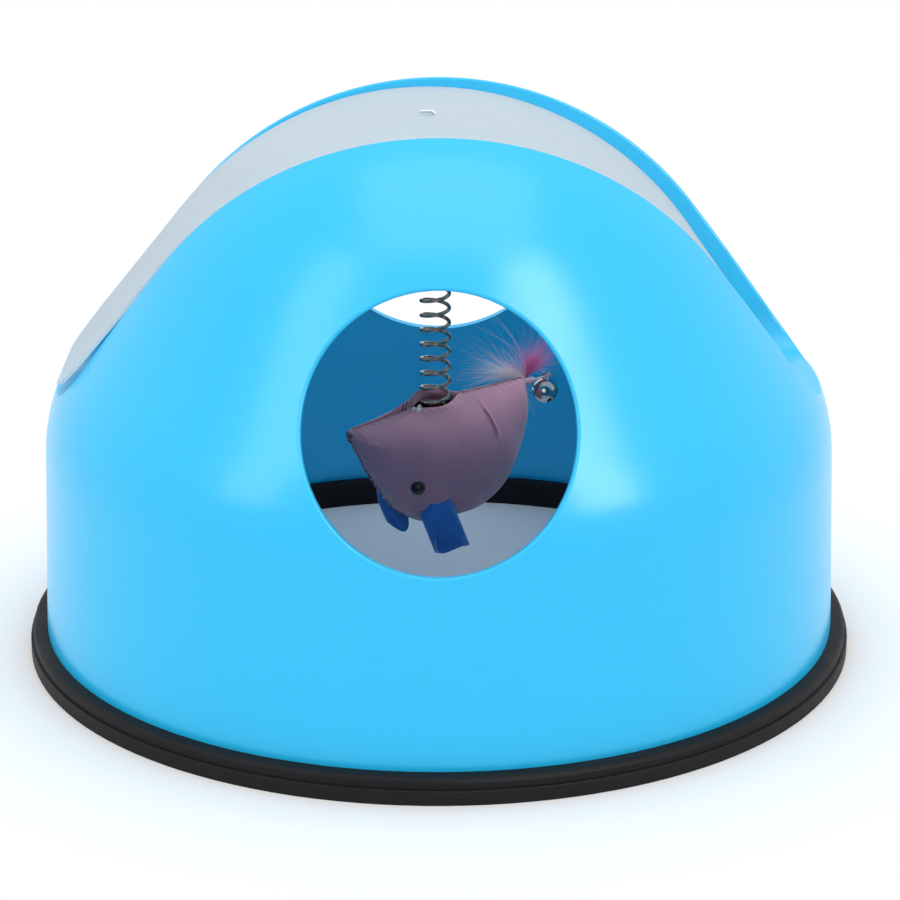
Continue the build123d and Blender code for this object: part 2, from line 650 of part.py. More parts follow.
def mouse_pieces():
    """Cloth panels, filling, plug and trim of the mouse, in the toy's frame."""
    place = MOUSE_PLANE.location
    seat = Pos(SWIVEL_X, 0, SPRING_FOOT_HEIGHT)
    body = mouse_body(0)
    bore_radius = SPRING_DIAMETER / 2 + SLIT_ROOM
    slit = Pos(0, 0, -MOUSE_DEPTH / 2) * extrude(SlotOverall(SLIT_LENGTH, 2 * bore_radius), MOUSE_DEPTH)
    bore = Cylinder(bore_radius, MOUSE_DEPTH, align=(Align.CENTER, Align.CENTER, Align.MIN))
    plug = Cylinder(bore_radius, PLUG_THICKNESS, align=(Align.CENTER, Align.CENTER, Align.MAX))
    binding = tail_binding(body)
    white = feather(WHITE_HEADING, WHITE_RISE, WHITE_ROOT_SHARE, binding)
    pink = feather(PINK_HEADING, PINK_RISE, PINK_ROOT_SHARE, binding) - white
    return {
        "mouse_near_side": place * (mouse_panel(-1) - slit),
        "mouse_far_side": place * (mouse_panel(1) - slit),
        "mouse_filling": place * mouse_body(MOUSE_CLOTH + FILLING_EASE) - seat * bore - seat * plug,
        "glue_plug": seat * plug,
        "near_ear": place * ear(-1, NEAR_EAR_SHARES, NEAR_EAR_SWEEP, body),
        "far_ear": place * ear(1, FAR_EAR_SHARES, FAR_EAR_SWEEP, body),
        "near_eye": place * bead_eye(-1, body),
        "far_eye": place * bead_eye(1, body),
        "tail_binding": place * binding,
        "bell_thread": place * bell_thread(),
        "pink_feather": place * pink,
        "white_feather": place * white,
    }


def toy_pieces():
    """Every piece of the toy by its name."""
    coil = spring_edges()
    print(f"spring: least gap to itself {least_gap(coil, SPRING_WIRE):.2f} mm")
    pieces = {
        "dome_shell": dome_shell(),
        "roof_strip": roof_strip(),
        "base_ring": base_ring(),
        "swivel_pin": swivel_pin(),
        "spring": wire_along(coil, SPRING_WIRE),
    }
    pieces.update(mouse_pieces())
    pieces["bell_upper_half"] = bell_frame(bell_half(1))
    pieces["bell_lower_half"] = bell_frame(bell_half(-1))
    pieces["bell_shank"] = bell_frame(bell_shank())
    pieces["bell_pea"] = bell_frame(bell_pea())
    return pieces


os.makedirs("parts", exist_ok=True)
for name, solid in toy_pieces().items():
    export_step(solid, f"parts/{name}.step")
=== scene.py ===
"""Looks of a cat toy: a blue dome with two paw holes, and a plush mouse on a spring inside it.

Lengths are in metres in the part's own frame: +Z is up and the front paw hole faces -Y.
"""

from __future__ import annotations

import json
import logging
import math
import random
from abc import ABC, abstractmethod
from dataclasses import dataclass
from enum import Enum
from typing import Any, Callable, Sequence

import bpy
import numpy as np
from mathutils import Matrix, Vector

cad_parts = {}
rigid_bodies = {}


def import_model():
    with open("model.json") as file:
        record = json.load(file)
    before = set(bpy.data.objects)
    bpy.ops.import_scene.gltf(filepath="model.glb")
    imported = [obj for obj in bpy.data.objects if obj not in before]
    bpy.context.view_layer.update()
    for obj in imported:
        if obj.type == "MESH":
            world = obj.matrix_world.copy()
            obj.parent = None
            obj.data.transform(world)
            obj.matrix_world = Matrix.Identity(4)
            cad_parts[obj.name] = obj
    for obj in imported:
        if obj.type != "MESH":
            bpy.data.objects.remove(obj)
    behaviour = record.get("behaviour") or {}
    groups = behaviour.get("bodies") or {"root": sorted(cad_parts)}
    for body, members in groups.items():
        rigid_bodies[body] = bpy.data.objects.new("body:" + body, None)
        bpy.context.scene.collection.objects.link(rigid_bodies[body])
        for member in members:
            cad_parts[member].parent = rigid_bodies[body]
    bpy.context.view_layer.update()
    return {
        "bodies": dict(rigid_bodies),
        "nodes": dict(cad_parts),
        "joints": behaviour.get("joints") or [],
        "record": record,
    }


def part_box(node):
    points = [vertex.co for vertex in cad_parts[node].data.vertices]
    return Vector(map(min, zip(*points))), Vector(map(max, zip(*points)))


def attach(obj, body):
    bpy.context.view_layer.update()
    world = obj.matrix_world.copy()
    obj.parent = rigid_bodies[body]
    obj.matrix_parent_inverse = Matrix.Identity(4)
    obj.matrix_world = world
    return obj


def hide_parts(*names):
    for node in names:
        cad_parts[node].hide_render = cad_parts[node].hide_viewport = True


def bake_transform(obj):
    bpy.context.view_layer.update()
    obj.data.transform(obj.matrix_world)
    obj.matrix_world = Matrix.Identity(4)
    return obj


Pair = tuple[float, float]
Triple = tuple[float, float, float]

LOG = logging.getLogger("cat_toy")
MM = 0.001
# From the hinge of the spring's hook down to the middle of the belly seam
MOUSE_HANG = 82.15 * MM

# Socket places of the colour mix node, whose sockets share their names
MIX_A = 6
MIX_B = 7
MIX_RESULT = 2
# Blender's wave texture turns 20 radians in one unit at scale 1
WAVE_TURN = 20.0
FULL_WHITE = (1.0, 1.0, 1.0, 1.0)


class Slot(str, Enum):
    """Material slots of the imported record."""

    SHELL = "shell_plastic"
    STRIP = "strip_sheet"
    RING = "ring_rubber"
    SPRING = "spring_steel"
    CLOTH = "mouse_cloth"
    FILLING = "filling"
    GLUE = "glue"
    FELT = "ear_felt"
    BEAD = "eye_bead"
    THREAD = "thread"
    PINK = "feather_pink"
    WHITE = "feather_white"
    NICKEL = "bell_nickel"


class Body(str, Enum):
    """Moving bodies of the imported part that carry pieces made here."""

    COIL = "coil"
    MOUSE = "mouse"


class Side(int, Enum):
    """Sides of the mouse: the near one shows through the front paw hole."""

    NEAR = -1
    FAR = 1


def linear(colour: str) -> tuple[float, float, float, float]:
    """Turns an sRGB hex colour to linear.

    Args:
        colour: the colour as "#rrggbb".

    Returns:
        Linear red, green, blue and an alpha of one.
    """
    parts = [int(colour[start : start + 2], 16) / 255 for start in (1, 3, 5)]
    red, green, blue = [p / 12.92 if p <= 0.04045 else ((p + 0.055) / 1.055) ** 2.4 for p in parts]
    return red, green, blue, 1.0


def add(
    tree: bpy.types.NodeTree, kind: str, inputs: dict[str | int, Any] | None = None, **settings: Any
) -> bpy.types.Node:
    """Adds one node to a tree.

    Args:
        tree: the node tree.
        kind: the node's type name.
        inputs: a value, a socket to link, or a node whose first output is linked, for each input.
        settings: properties of the node.

    Returns:
        The new node.
    """
    node = tree.nodes.new(kind)
    for key, value in settings.items():
        setattr(node, key, value)
    for key, value in (inputs or {}).items():
        if isinstance(value, bpy.types.Node):
            value = value.outputs[0]
        if isinstance(value, bpy.types.NodeSocket):
            tree.links.new(value, node.inputs[key])
        else:
            node.inputs[key].default_value = value
    return node


def wave_scale(period: float) -> float:
    """Scale of a wave texture whose bands repeat at a period in metres."""
    return 2 * math.pi / (WAVE_TURN * period)


def seen_directly(tree: bpy.types.NodeTree) -> bpy.types.Node:
    """Adds the nodes that tell what is looked at from the light that falls on the toy.

    Args:
        tree: the node tree.

    Returns:
        The node that gives one to the camera, to reflections and through clear pieces, and nought to light.
    """
    path = add(tree, "ShaderNodeLightPath").outputs
    mirrored = {0: path["Is Camera Ray"], 1: path["Is Glossy Ray"]}
    either = add(tree, "ShaderNodeMath", mirrored, operation="MAXIMUM")
    return add(tree, "ShaderNodeMath", {0: either, 1: path["Is Transmission Ray"]}, operation="MAXIMUM")


@dataclass(frozen=True)
class Finish(ABC):
    """A surface finish that can be built as a material."""

    name: str

    @abstractmethod
    def fill(self, tree: bpy.types.NodeTree) -> bpy.types.Node:
        """Adds the finish's nodes.

        Args:
            tree: the material's node tree.

        Returns:
            The shader node of the whole surface.
        """

    def build(self) -> bpy.types.Material:
        """Makes the material, or finds it if it was made before.

        Returns:
            The finished material.
        """
        known = bpy.data.materials.get(self.name)
        if known:
            return known
        material = bpy.data.materials.new(self.name)
        material.use_nodes = True
        tree = material.node_tree
        tree.nodes.clear()
        add(tree, "ShaderNodeOutputMaterial", {"Surface": self.fill(tree)})
        return material


@dataclass(frozen=True)
class MouldedAbs(Finish):
    """Glossy injection-moulded ABS: one even deep colour under a smooth skin with a faint orange peel."""

    name: str = "moulded_abs_blue"
    colour: str = "#1ec1f7"
    ior: float = 1.5
    roughness: float = 0.245
    roughness_drift: float = 0.018
    haze: float = 60.0 * MM
    peel: float = 9.0 * MM
    peel_height: float = 0.4 * MM

    def fill(self, tree: bpy.types.NodeTree) -> bpy.types.Node:
        """Adds the nodes of the moulded skin.

        Args:
            tree: the material's node tree.

        Returns:
            The shader node of the whole surface.
        """
        place = add(tree, "ShaderNodeTexCoord").outputs["Object"]
        haze = add(tree, "ShaderNodeTexNoise", {"Vector": place, "Scale": 1 / self.haze, "Detail": 1.0})
        low, high = self.roughness - self.roughness_drift, self.roughness + self.roughness_drift
        rough = add(tree, "ShaderNodeMapRange", {"Value": haze, "To Min": low, "To Max": high})
        peel = add(tree, "ShaderNodeTexNoise", {"Vector": place, "Scale": 1 / self.peel, "Detail": 0.0})
        bump = add(tree, "ShaderNodeBump", {"Strength": 0.05, "Distance": self.peel_height, "Height": peel})
        skin = {"Base Color": linear(self.colour), "Roughness": rough, "IOR": self.ior, "Normal": bump}
        return add(tree, "ShaderNodeBsdfPrincipled", skin)


@dataclass(frozen=True)
class FrostedSheet(Finish):
    """Frosted polypropylene sheet: milky, matt, and bright where light comes through it."""

    name: str = "frosted_polypropylene_sheet"
    colour: str = "#eff7fa"
    streak_colour: str = "#e6f1f6"
    streak: float = 30.0 * MM
    ior: float = 1.49
    roughness: float = 0.6
    glow_share: float = 0.54
    grain: float = 1.6 * MM
    grain_height: float = 0.1 * MM

    def fill(self, tree: bpy.types.NodeTree) -> bpy.types.Node:
        """Adds the nodes of the milky sheet.

        Args:
            tree: the material's node tree.

        Returns:
            The shader node of the whole surface.
        """
        place = add(tree, "ShaderNodeTexCoord").outputs["Object"]
        streak = add(tree, "ShaderNodeTexNoise", {"Vector": place, "Scale": 1 / self.streak, "Detail": 3.0})
        tones = {0: streak, MIX_A: linear(self.colour), MIX_B: linear(self.streak_colour)}
        tint = add(tree, "ShaderNodeMix", tones, data_type="RGBA").outputs[MIX_RESULT]
        grain = add(tree, "ShaderNodeTexNoise", {"Vector": place, "Scale": 1 / self.grain, "Detail": 2.0})
        bump = add(tree, "ShaderNodeBump", {"Strength": 0.12, "Distance": self.grain_height, "Height": grain})
        skin = {"Base Color": tint, "Roughness": self.roughness, "IOR": self.ior, "Normal": bump}
        face = add(tree, "ShaderNodeBsdfPrincipled", skin)
        glow = add(tree, "ShaderNodeBsdfTranslucent", {"Color": tint})
        return add(tree, "ShaderNodeMixShader", {0: self.glow_share, 1: face, 2: glow})


@dataclass(frozen=True)
class MouldedRubber(Finish):
    """Moulded black rubber: dull, with a fine grain and a grey bloom of dust."""

    name: str = "moulded_black_rubber"
    colour: str = "#0c0c0d"
    bloom_colour: str = "#1a1a1d"
    bloom: float = 14.0 * MM
    roughness: float = 0.58
    roughness_drift: float = 0.1
    grain: float = 0.9 * MM
    grain_height: float = 0.15 * MM

    def fill(self, tree: bpy.types.NodeTree) -> bpy.types.Node:
        """Adds the nodes of the grained rubber.

        Args:
            tree: the material's node tree.

        Returns:
            The shader node of the whole surface.
        """
        place = add(tree, "ShaderNodeTexCoord").outputs["Object"]
        bloom = add(tree, "ShaderNodeTexNoise", {"Vector": place, "Scale": 1 / self.bloom, "Detail": 4.0})
        tones = {0: bloom, MIX_A: linear(self.colour), MIX_B: linear(self.bloom_colour)}
        tint = add(tree, "ShaderNodeMix", tones, data_type="RGBA").outputs[MIX_RESULT]
        grain = add(tree, "ShaderNodeTexNoise", {"Vector": place, "Scale": 1 / self.grain, "Detail": 3.0})
        bump = add(tree, "ShaderNodeBump", {"Strength": 0.35, "Distance": self.grain_height, "Height": grain})
        low, high = self.roughness - self.roughness_drift, self.roughness + self.roughness_drift
        rough = add(tree, "ShaderNodeMapRange", {"Value": bloom, "To Min": low, "To Max": high})
        skin = {"Base Color": tint, "Roughness": rough, "Specular IOR Level": 0.2, "Normal": bump}
        return add(tree, "ShaderNodeBsdfPrincipled", skin)


@dataclass(frozen=True)
class Metal(Finish):
    """Bare or plated metal with stains: its colour drifts between a clean and a stained tone."""

    colour: str
    stain_colour: str
    roughness: float
    stain: float = 2.0 * MM
    scratch: float = 0.5 * MM
    scratch_strength: float = 0.1
    scratch_depth: float = 0.05 * MM

    def fill(self, tree: bpy.types.NodeTree) -> bpy.types.Node:
        """Adds the nodes of the metal.

        Args:
            tree: the material's node tree.

        Returns:
            The shader node of the whole surface.
        """
        place = add(tree, "ShaderNodeTexCoord").outputs["Object"]
        stain = add(tree, "ShaderNodeTexNoise", {"Vector": place, "Scale": 1 / self.stain, "Detail": 3.0})
        share = add(tree, "ShaderNodeMapRange", {"Value": stain, "From Min": 0.38, "From Max": 0.68})
        tones = {0: share, MIX_A: linear(self.colour), MIX_B: linear(self.stain_colour)}
        tint = add(tree, "ShaderNodeMix", tones, data_type="RGBA").outputs[MIX_RESULT]
        clean, stained = 0.7 * self.roughness, 1.5 * self.roughness
        rough = add(tree, "ShaderNodeMapRange", {"Value": stain, "To Min": clean, "To Max": stained})
        scratch = add(tree, "ShaderNodeTexNoise", {"Vector": place, "Scale": 1 / self.scratch, "Detail": 2.0})
        relief = {"Strength": self.scratch_strength, "Distance": self.scratch_depth, "Height": scratch}
        bump = add(tree, "ShaderNodeBump", relief)
        skin = {"Base Color": tint, "Roughness": rough, "Metallic": 1.0, "Normal": bump}
        return add(tree, "ShaderNodeBsdfPrincipled", skin)


@dataclass(frozen=True)
class BrushedCotton(Finish):
    """Plain-woven cotton with a short nap: crossing threads, a soft sheen and slightly uneven dye.

    The real threads lie about 0.35 mm apart. They are drawn coarser, so that they show.
    """

    name: str = "brushed_cotton_pink"
    colour: str = "#c096a6"
    thread_colour: str = "#a77b8f"
    thread: float = 0.62 * MM
    thread_height: float = 0.12 * MM
    fuzz: float = 0.5 * MM
    dye_patch: float = 7.0 * MM
    roughness: float = 0.85

    def fill(self, tree: bpy.types.NodeTree) -> bpy.types.Node:
        """Adds the nodes of the woven cloth, on the cut panel's own flat coordinates.

        Args:
            tree: the material's node tree.

        Returns:
            The shader node of the whole surface.
        """
        flat = add(tree, "ShaderNodeUVMap", uv_map="flat")
        place = add(tree, "ShaderNodeTexCoord").outputs["Object"]
        bands = {"Vector": flat, "Scale": wave_scale(self.thread), "Distortion": 0.5, "Detail": 1.0}
        warp, weft = [
            add(tree, "ShaderNodeTexWave", bands, bands_direction=way).outputs["Fac"] for way in ("X", "Y")
        ]
        weave = add(tree, "ShaderNodeMath", {0: warp, 1: weft}, operation="MULTIPLY")
        fuzz = add(tree, "ShaderNodeTexNoise", {"Vector": place, "Scale": 1 / self.fuzz, "Detail": 4.0})
        height = add(tree, "ShaderNodeMath", {0: weave, 1: fuzz}, operation="ADD")
        relief = {"Strength": 0.55, "Distance": self.thread_height, "Height": height}
        bump = add(tree, "ShaderNodeBump", relief)
        dye = add(tree, "ShaderNodeTexNoise", {"Vector": place, "Scale": 1 / self.dye_patch, "Detail": 2.0})
        share = add(tree, "ShaderNodeMath", {0: dye, 1: weave}, operation="MULTIPLY")
        tones = {0: share, MIX_A: linear(self.thread_colour), MIX_B: linear(self.colour)}
        tint = add(tree, "ShaderNodeMix", tones, data_type="RGBA").outputs[MIX_RESULT]
        cloth = {"Base Color": tint, "Roughness": self.roughness, "Normal": bump}
        nap = {"Sheen Weight": 0.35, "Sheen Roughness": 0.5}
        return add(tree, "ShaderNodeBsdfPrincipled", cloth | nap)


@dataclass(frozen=True)
class Fibre(Finish):
    """Matted or spun fibre, such as felt, wadding or thread: dull, mottled, with a soft fuzzy sheen."""

    colour: str
    shade_colour: str
    grain: float = 0.45 * MM
    fuzz: float = 0.6
    sheen: float = 0.4
    fuzz_height: float = 0.2 * MM
    mottle_grains: float = 5
    roughness: float = 0.92

    def fill(self, tree: bpy.types.NodeTree) -> bpy.types.Node:
        """Adds the nodes of the fibre.

        Args:
            tree: the material's node tree.

        Returns:
            The shader node of the whole surface.
        """
        place = add(tree, "ShaderNodeTexCoord").outputs["Object"]
        patch = {"Vector": place, "Scale": 1 / (self.mottle_grains * self.grain), "Detail": 5.0}
        tones = {0: add(tree, "ShaderNodeTexNoise", patch)}
        tones |= {MIX_A: linear(self.colour), MIX_B: linear(self.shade_colour)}
        tint = add(tree, "ShaderNodeMix", tones, data_type="RGBA").outputs[MIX_RESULT]
        strand = {"Vector": place, "Scale": 1 / self.grain, "Detail": 5.0, "Distortion": 1.5}
        fuzz = add(tree, "ShaderNodeTexNoise", strand)
        relief = {"Strength": self.fuzz, "Distance": self.fuzz_height, "Height": fuzz}
        bump = add(tree, "ShaderNodeBump", relief)
        mat = {"Base Color": tint, "Roughness": self.roughness, "Normal": bump}
        nap = {"Sheen Weight": self.sheen, "Sheen Roughness": 0.45}
        return add(tree, "ShaderNodeBsdfPrincipled", mat | nap)


@dataclass(frozen=True)
class Glossy(Finish):
    """Smooth glassy plastic or resin, such as a moulded bead or set hot-melt glue."""

    colour: str
    tint_colour: str
    roughness: float
    glow: float = 0.0
    glow_reach: float = 1.0 * MM
    drift: float = 1.5 * MM
    ripple: float = 0.1 * MM
    ior: float = 1.5

    def fill(self, tree: bpy.types.NodeTree) -> bpy.types.Node:
        """Adds the nodes of the smooth resin.

        Args:
            tree: the material's node tree.

        Returns:
            The shader node of the whole surface.
        """
        place = add(tree, "ShaderNodeTexCoord").outputs["Object"]
        drift = add(tree, "ShaderNodeTexNoise", {"Vector": place, "Scale": 1 / self.drift, "Detail": 2.0})
        tones = {0: drift, MIX_A: linear(self.colour), MIX_B: linear(self.tint_colour)}
        tint = add(tree, "ShaderNodeMix", tones, data_type="RGBA").outputs[MIX_RESULT]
        bump = add(tree, "ShaderNodeBump", {"Strength": 0.08, "Distance": self.ripple, "Height": drift})
        skin = {"Base Color": tint, "Roughness": self.roughness, "IOR": self.ior, "Normal": bump}
        depth = {"Subsurface Weight": self.glow, "Subsurface Scale": self.glow_reach}
        return add(tree, "ShaderNodeBsdfPrincipled", skin | depth)


@dataclass(frozen=True)
class Plume(Finish):
    """Dyed marabou down: fine dull barbs, paler in patches, that let light through and look airy."""

    colour: str
    pale_colour: str
    patch: float = 4.0 * MM
    roughness: float = 0.7
    through: float = 0.5
    airy: float = 0.42

    def fill(self, tree: bpy.types.NodeTree) -> bpy.types.Node:
        """Adds the nodes of the down.

        Args:
            tree: the material's node tree.

        Returns:
            The shader node of the whole surface.
        """
        place = add(tree, "ShaderNodeTexCoord").outputs["Object"]
        patch = add(tree, "ShaderNodeTexNoise", {"Vector": place, "Scale": 1 / self.patch, "Detail": 2.0})
        tones = {0: patch, MIX_A: linear(self.colour), MIX_B: linear(self.pale_colour)}
        tint = add(tree, "ShaderNodeMix", tones, data_type="RGBA").outputs[MIX_RESULT]
        dull = add(tree, "ShaderNodeBsdfPrincipled", {"Base Color": tint, "Roughness": self.roughness})
        lit = add(tree, "ShaderNodeBsdfTranslucent", {"Color": tint})
        barb = add(tree, "ShaderNodeMixShader", {0: self.through, 1: dull, 2: lit})
        clear = add(tree, "ShaderNodeBsdfTransparent")
        return add(tree, "ShaderNodeMixShader", {0: self.airy, 1: barb, 2: clear})


@dataclass(frozen=True)
class PaleFloor(Finish):
    """Plain white studio floor, with a trace of grain, that goes over into a full white backdrop."""

    name: str = "white_studio_floor"
    colour: str = "#f8f8f8"
    grain_colour: str = "#f6f6f6"
    grain: float = 20.0 * MM
    roughness: float = 0.9
    white_from: float = 0.2
    white_to: float = 0.75

    def fill(self, tree: bpy.types.NodeTree) -> bpy.types.Node:
        """Adds the nodes of the floor.

        Args:
            tree: the material's node tree.

        Returns:
            The shader node of the whole surface.
        """
        place = add(tree, "ShaderNodeTexCoord").outputs["Object"]
        grain = add(tree, "ShaderNodeTexNoise", {"Vector": place, "Scale": 1 / self.grain})
        tones = {0: grain, MIX_A: linear(self.colour), MIX_B: linear(self.grain_colour)}
        tint = add(tree, "ShaderNodeMix", tones, data_type="RGBA").outputs[MIX_RESULT]
        skin = {"Base Color": tint, "Roughness": self.roughness, "Specular IOR Level": 0.1}
        dull = add(tree, "ShaderNodeBsdfPrincipled", skin)
        away = add(tree, "ShaderNodeVectorMath", {0: place}, operation="LENGTH").outputs["Value"]
        reach = {"Value": away, "From Min": self.white_from, "From Max": self.white_to}
        far = add(tree, "ShaderNodeMapRange", reach, interpolation_type="SMOOTHSTEP")
        share = add(tree, "ShaderNodeMath", {0: far, 1: seen_directly(tree)}, operation="MULTIPLY")
        white = add(tree, "ShaderNodeEmission", {"Color": FULL_WHITE, "Strength": 1.0})
        return add(tree, "ShaderNodeMixShader", {0: share, 1: dull, 2: white})


SHELL_ABS = MouldedAbs()
STRIP_SHEET = FrostedSheet()
RING_RUBBER = MouldedRubber()
MOUSE_COTTON = BrushedCotton()
# Drawn wire, warm grey from the heat of tempering and still bright
SPRING_STEEL = Metal("oil_tempered_spring_steel", "#b9ad9c", "#8f8374", 0.2, 1.6 * MM, scratch_strength=0.05)
# Dipped wire with a pale bluish bloom
PIN_ZINC = Metal("zinc_plated_wire", "#d5d9de", "#bfc4ca", 0.35, 1.5 * MM)
# Pressed brass under bright plating, which mirrors its surroundings
BELL_NICKEL = Metal("nickel_plated_bell_brass", "#d9d6cf", "#b9b3a8", 0.13, 3.0 * MM)
# Inner face of the woven cloth, without nap, coloured much darker than the outer face: painted shade for the
# dim hollow of the slit, where only this face shows
COTTON_BACK_PAINTED_SHADE = Fibre("brushed_cotton_wrong_side_painted_shade", "#7d4658", "#5a2c40", 0.5 * MM, 0.5, 0.2)
# Pressed felt, even and dull; its cut edges are painted paler, a painted highlight for the light that the
# edges catch
EAR_FELT = Fibre("blue_wool_felt", "#2a78c8", "#1f62b0")
FELT_EDGE_PAINTED_HIGHLIGHT = Fibre("blue_wool_felt_cut_painted_highlight", "#6ba6e2", "#4f8fd2", 0.3 * MM)
# Carded wadding, coarse and ragged
RED_WADDING = Fibre("red_cotton_wadding", "#b02a48", "#6f1830", 0.8 * MM, 0.9)
# Spun threads, smoother than felt
SEAM_THREAD = Fibre("dark_red_sewing_thread", "#5c1a3c", "#3a1230", 0.2 * MM, 0.4, 0.2)
PALE_THREAD = Fibre("undyed_cotton_thread", "#cfbcc2", "#a88a98", 0.2 * MM, 0.4, 0.2)
# Single fibres, which catch the light at their edges
COTTON_NAP = Fibre("loose_pink_cotton_fibre", "#e0b4c8", "#d09ab4", 0.3 * MM, 0.1, 0.6)
# Moulded bead, black with a soft highlight
EYE_BEAD = Glossy("black_moulded_bead", "#0b0a0c", "#15120f", 0.3)
# Set drops of glue, milky with a wet shine
HOT_MELT = Glossy("clear_hot_melt_glue", "#e6e3e0", "#cfc8c8", 0.3, 0.4)
PINK_DOWN = Plume("pink_marabou_down", "#fb8fd2", "#fcc0e8")
WHITE_DOWN = Plume("white_marabou_down", "#ffffff", "#f4eef6")


def mesh_object(
    name: str,
    points: np.ndarray | Sequence[Vector],
    faces: Sequence[Sequence[int]],
    finish: Finish,
    flat: np.ndarray | None = None,
) -> bpy.types.Object:
    """Makes a smooth-shaded mesh object.

    Args:
        name: the object's name.
        points: its vertices in the part's frame.
        faces: the vertex numbers of each face.
        finish: the finish of its surface.
        flat: flat cloth coordinates of each vertex in metres, if it is a cut panel.

    Returns:
        The object, linked to the scene.
    """
    mesh = bpy.data.meshes.new(name)
    mesh.from_pydata([tuple(p) for p in points], [], [tuple(f) for f in faces])
    mesh.polygons.foreach_set("use_smooth", [True] * len(mesh.polygons))
    if flat is not None:
        layer = mesh.uv_layers.new(name="flat")
        order = np.zeros(len(mesh.loops), dtype=np.int32)
        mesh.loops.foreach_get("vertex_index", order)
        layer.data.foreach_set("uv", flat[order].astype(np.float32).ravel())
    mesh.materials.append(finish.build())
    mesh.validate()
    obj = bpy.data.objects.new(name, mesh)
    bpy.context.scene.collection.objects.link(obj)
    return obj


class MeshParts:
    """Vertices and faces of many small shapes that become one object."""

    def __init__(self) -> None:
        """Starts empty."""
        self.points: list[Vector] = []
        self.faces: list[tuple[int, ...]] = []

    def tube(self, path: Sequence[Vector], radius: float | Callable[[float], float], sides: int) -> None:
        """Adds a round tube with closed ends along a path.

        Args:
            path: the points of its middle line.
            radius: its radius, or the radius at a share of its length.
            sides: how many sides its section has.
        """
        start = len(self.points)
        spans = [(b - a).normalized() for a, b in zip(path, path[1:])]
        tangents = [spans[0], *((a + b).normalized() for a, b in zip(spans, spans[1:])), spans[-1]]
        across = tangents[0].orthogonal().normalized()
        last = len(path) - 1
        for index, (point, along) in enumerate(zip(path, tangents)):
            across = (across - along * across.dot(along)).normalized()
            other = along.cross(across)
            size = radius(index / last) if callable(radius) else radius
            for side in range(sides):
                turn = 2 * math.pi * side / sides
                self.points.append(point + (across * math.cos(turn) + other * math.sin(turn)) * size)
        for index in range(last):
            row = start + index * sides
            for side in range(sides):
                after = (side + 1) % sides
                self.faces.append((row + side, row + after, row + sides + after, row + sides + side))
        self.faces.append(tuple(start + side for side in reversed(range(sides))))
        self.faces.append(tuple(start + last * sides + side for side in range(sides)))

    def lathe(self, profile: Sequence[Pair], frame: Matrix, sides: int = 32) -> None:
        """Adds a surface turned about a frame's Z axis.

        Args:
            profile: radius and height of each ring, from a point on the axis to another.
            frame: where the axis stands.
            sides: how many sides each ring has.
        """
        rings: list[list[int]] = []
        for radius, height in profile:
            ring = []
            for side in range(1 if radius == 0 else sides):
                turn = 2 * math.pi * side / sides
                ring.append(len(self.points))
                self.points.append(frame @ Vector((radius * math.cos(turn), radius * math.sin(turn), height)))
            rings.append(ring)
        for low, high in zip(rings, rings[1:]):
            for side in range(sides):
                after = (side + 1) % sides
                corners = [low[side % len(low)], low[after % len(low)]]
                corners += [high[after % len(high)], high[side % len(high)]]
                self.faces.append(tuple(dict.fromkeys(corners)))

    def build(self, name: str, finish: Finish) -> bpy.types.Object:
        """Makes the object.

        Args:
            name: the object's name.
            finish: the finish of its surface.

        Returns:
            The object, linked to the scene.
        """
        return mesh_object(name, self.points, self.faces, finish)


def table_value(places: Sequence[float], values: Sequence[float], at: np.ndarray) -> np.ndarray:
    """Smooth values between the entries of a table, with no overshoot.

    Args:
        places: rising places of the entries.
        values: the entries.
        at: where the values are wanted.

    Returns:
        The interpolated values.
    """
    x, y = np.asarray(places), np.asarray(values)
    step, slope = np.diff(x), np.diff(y) / np.diff(x)
    product, total = slope[:-1] * slope[1:], slope[:-1] + slope[1:]
    inner = np.where(product > 0, 2 * product / (total + 1e-12), 0)
    tangent = np.concatenate([[slope[0]], inner, [slope[-1]]])
    index = np.clip(np.searchsorted(x, at, side="right") - 1, 0, len(step) - 1)
    t = (at - x[index]) / step[index]
    rise = y[index + 1] - y[index]
    bend = t * (1 - t) * ((1 - t) * tangent[index] - t * tangent[index + 1]) * step[index]
    return y[index] + rise * t * t * (3 - 2 * t) + bend


def bezier(a: Vector, b: Vector, c: Vector, d: Vector, count: int) -> list[Vector]:
    """Points of a cubic curve.

    Args:
        a: its start.
        b: its first handle.
        c: its second handle.
        d: its end.
        count: how many spans it is divided into.

    Returns:
        The points from start to end.
    """
    points = []
    for index in range(count + 1):
        t = index / count
        s = 1 - t
        points.append(a * s**3 + b * (3 * s * s * t) + c * (3 * s * t * t) + d * t**3)
    return points


def dress(nodes: dict[str, bpy.types.Object], finish: Finish, slot: Slot, *names: str) -> None:
    """Gives CAD nodes a finish.

    Args:
        nodes: the frame's nodes by name.
        finish: their finish.
        slot: the record's material slot; not used.
        names: the nodes' names.
    """
    for name in names:
        materials = nodes[name].data.materials
        materials.clear()
        materials.append(finish.build())
        LOG.info("dressed %s in %s", name, finish.name)


def settle(piece: bpy.types.Object, body: Body, slot: Slot, *replaced: str) -> None:
    """Makes a piece ride on a body and hides the CAD nodes that it stands for.

    Args:
        piece: the piece, in place.
        body: the body that carries it.
        slot: the record's material slot; not used.
        replaced: names of the CAD nodes that it stands for.
    """
    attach(piece, body.value)
    if replaced:
        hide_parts(*replaced)
    LOG.info("piece %s on %s, %d vertices", piece.name, body.value, len(piece.data.vertices))


def aim(obj: bpy.types.Object, place: Sequence[float], target: Sequence[float]) -> None:
    """Links an object and points its -Z axis at a target.

    Args:
        obj: the lamp or camera.
        place: where it stands.
        target: what it points at.
    """
    obj.location = place
    obj.rotation_euler = (Vector(target) - Vector(place)).to_track_quat("-Z", "Y").to_euler()
    bpy.context.scene.collection.objects.link(obj)


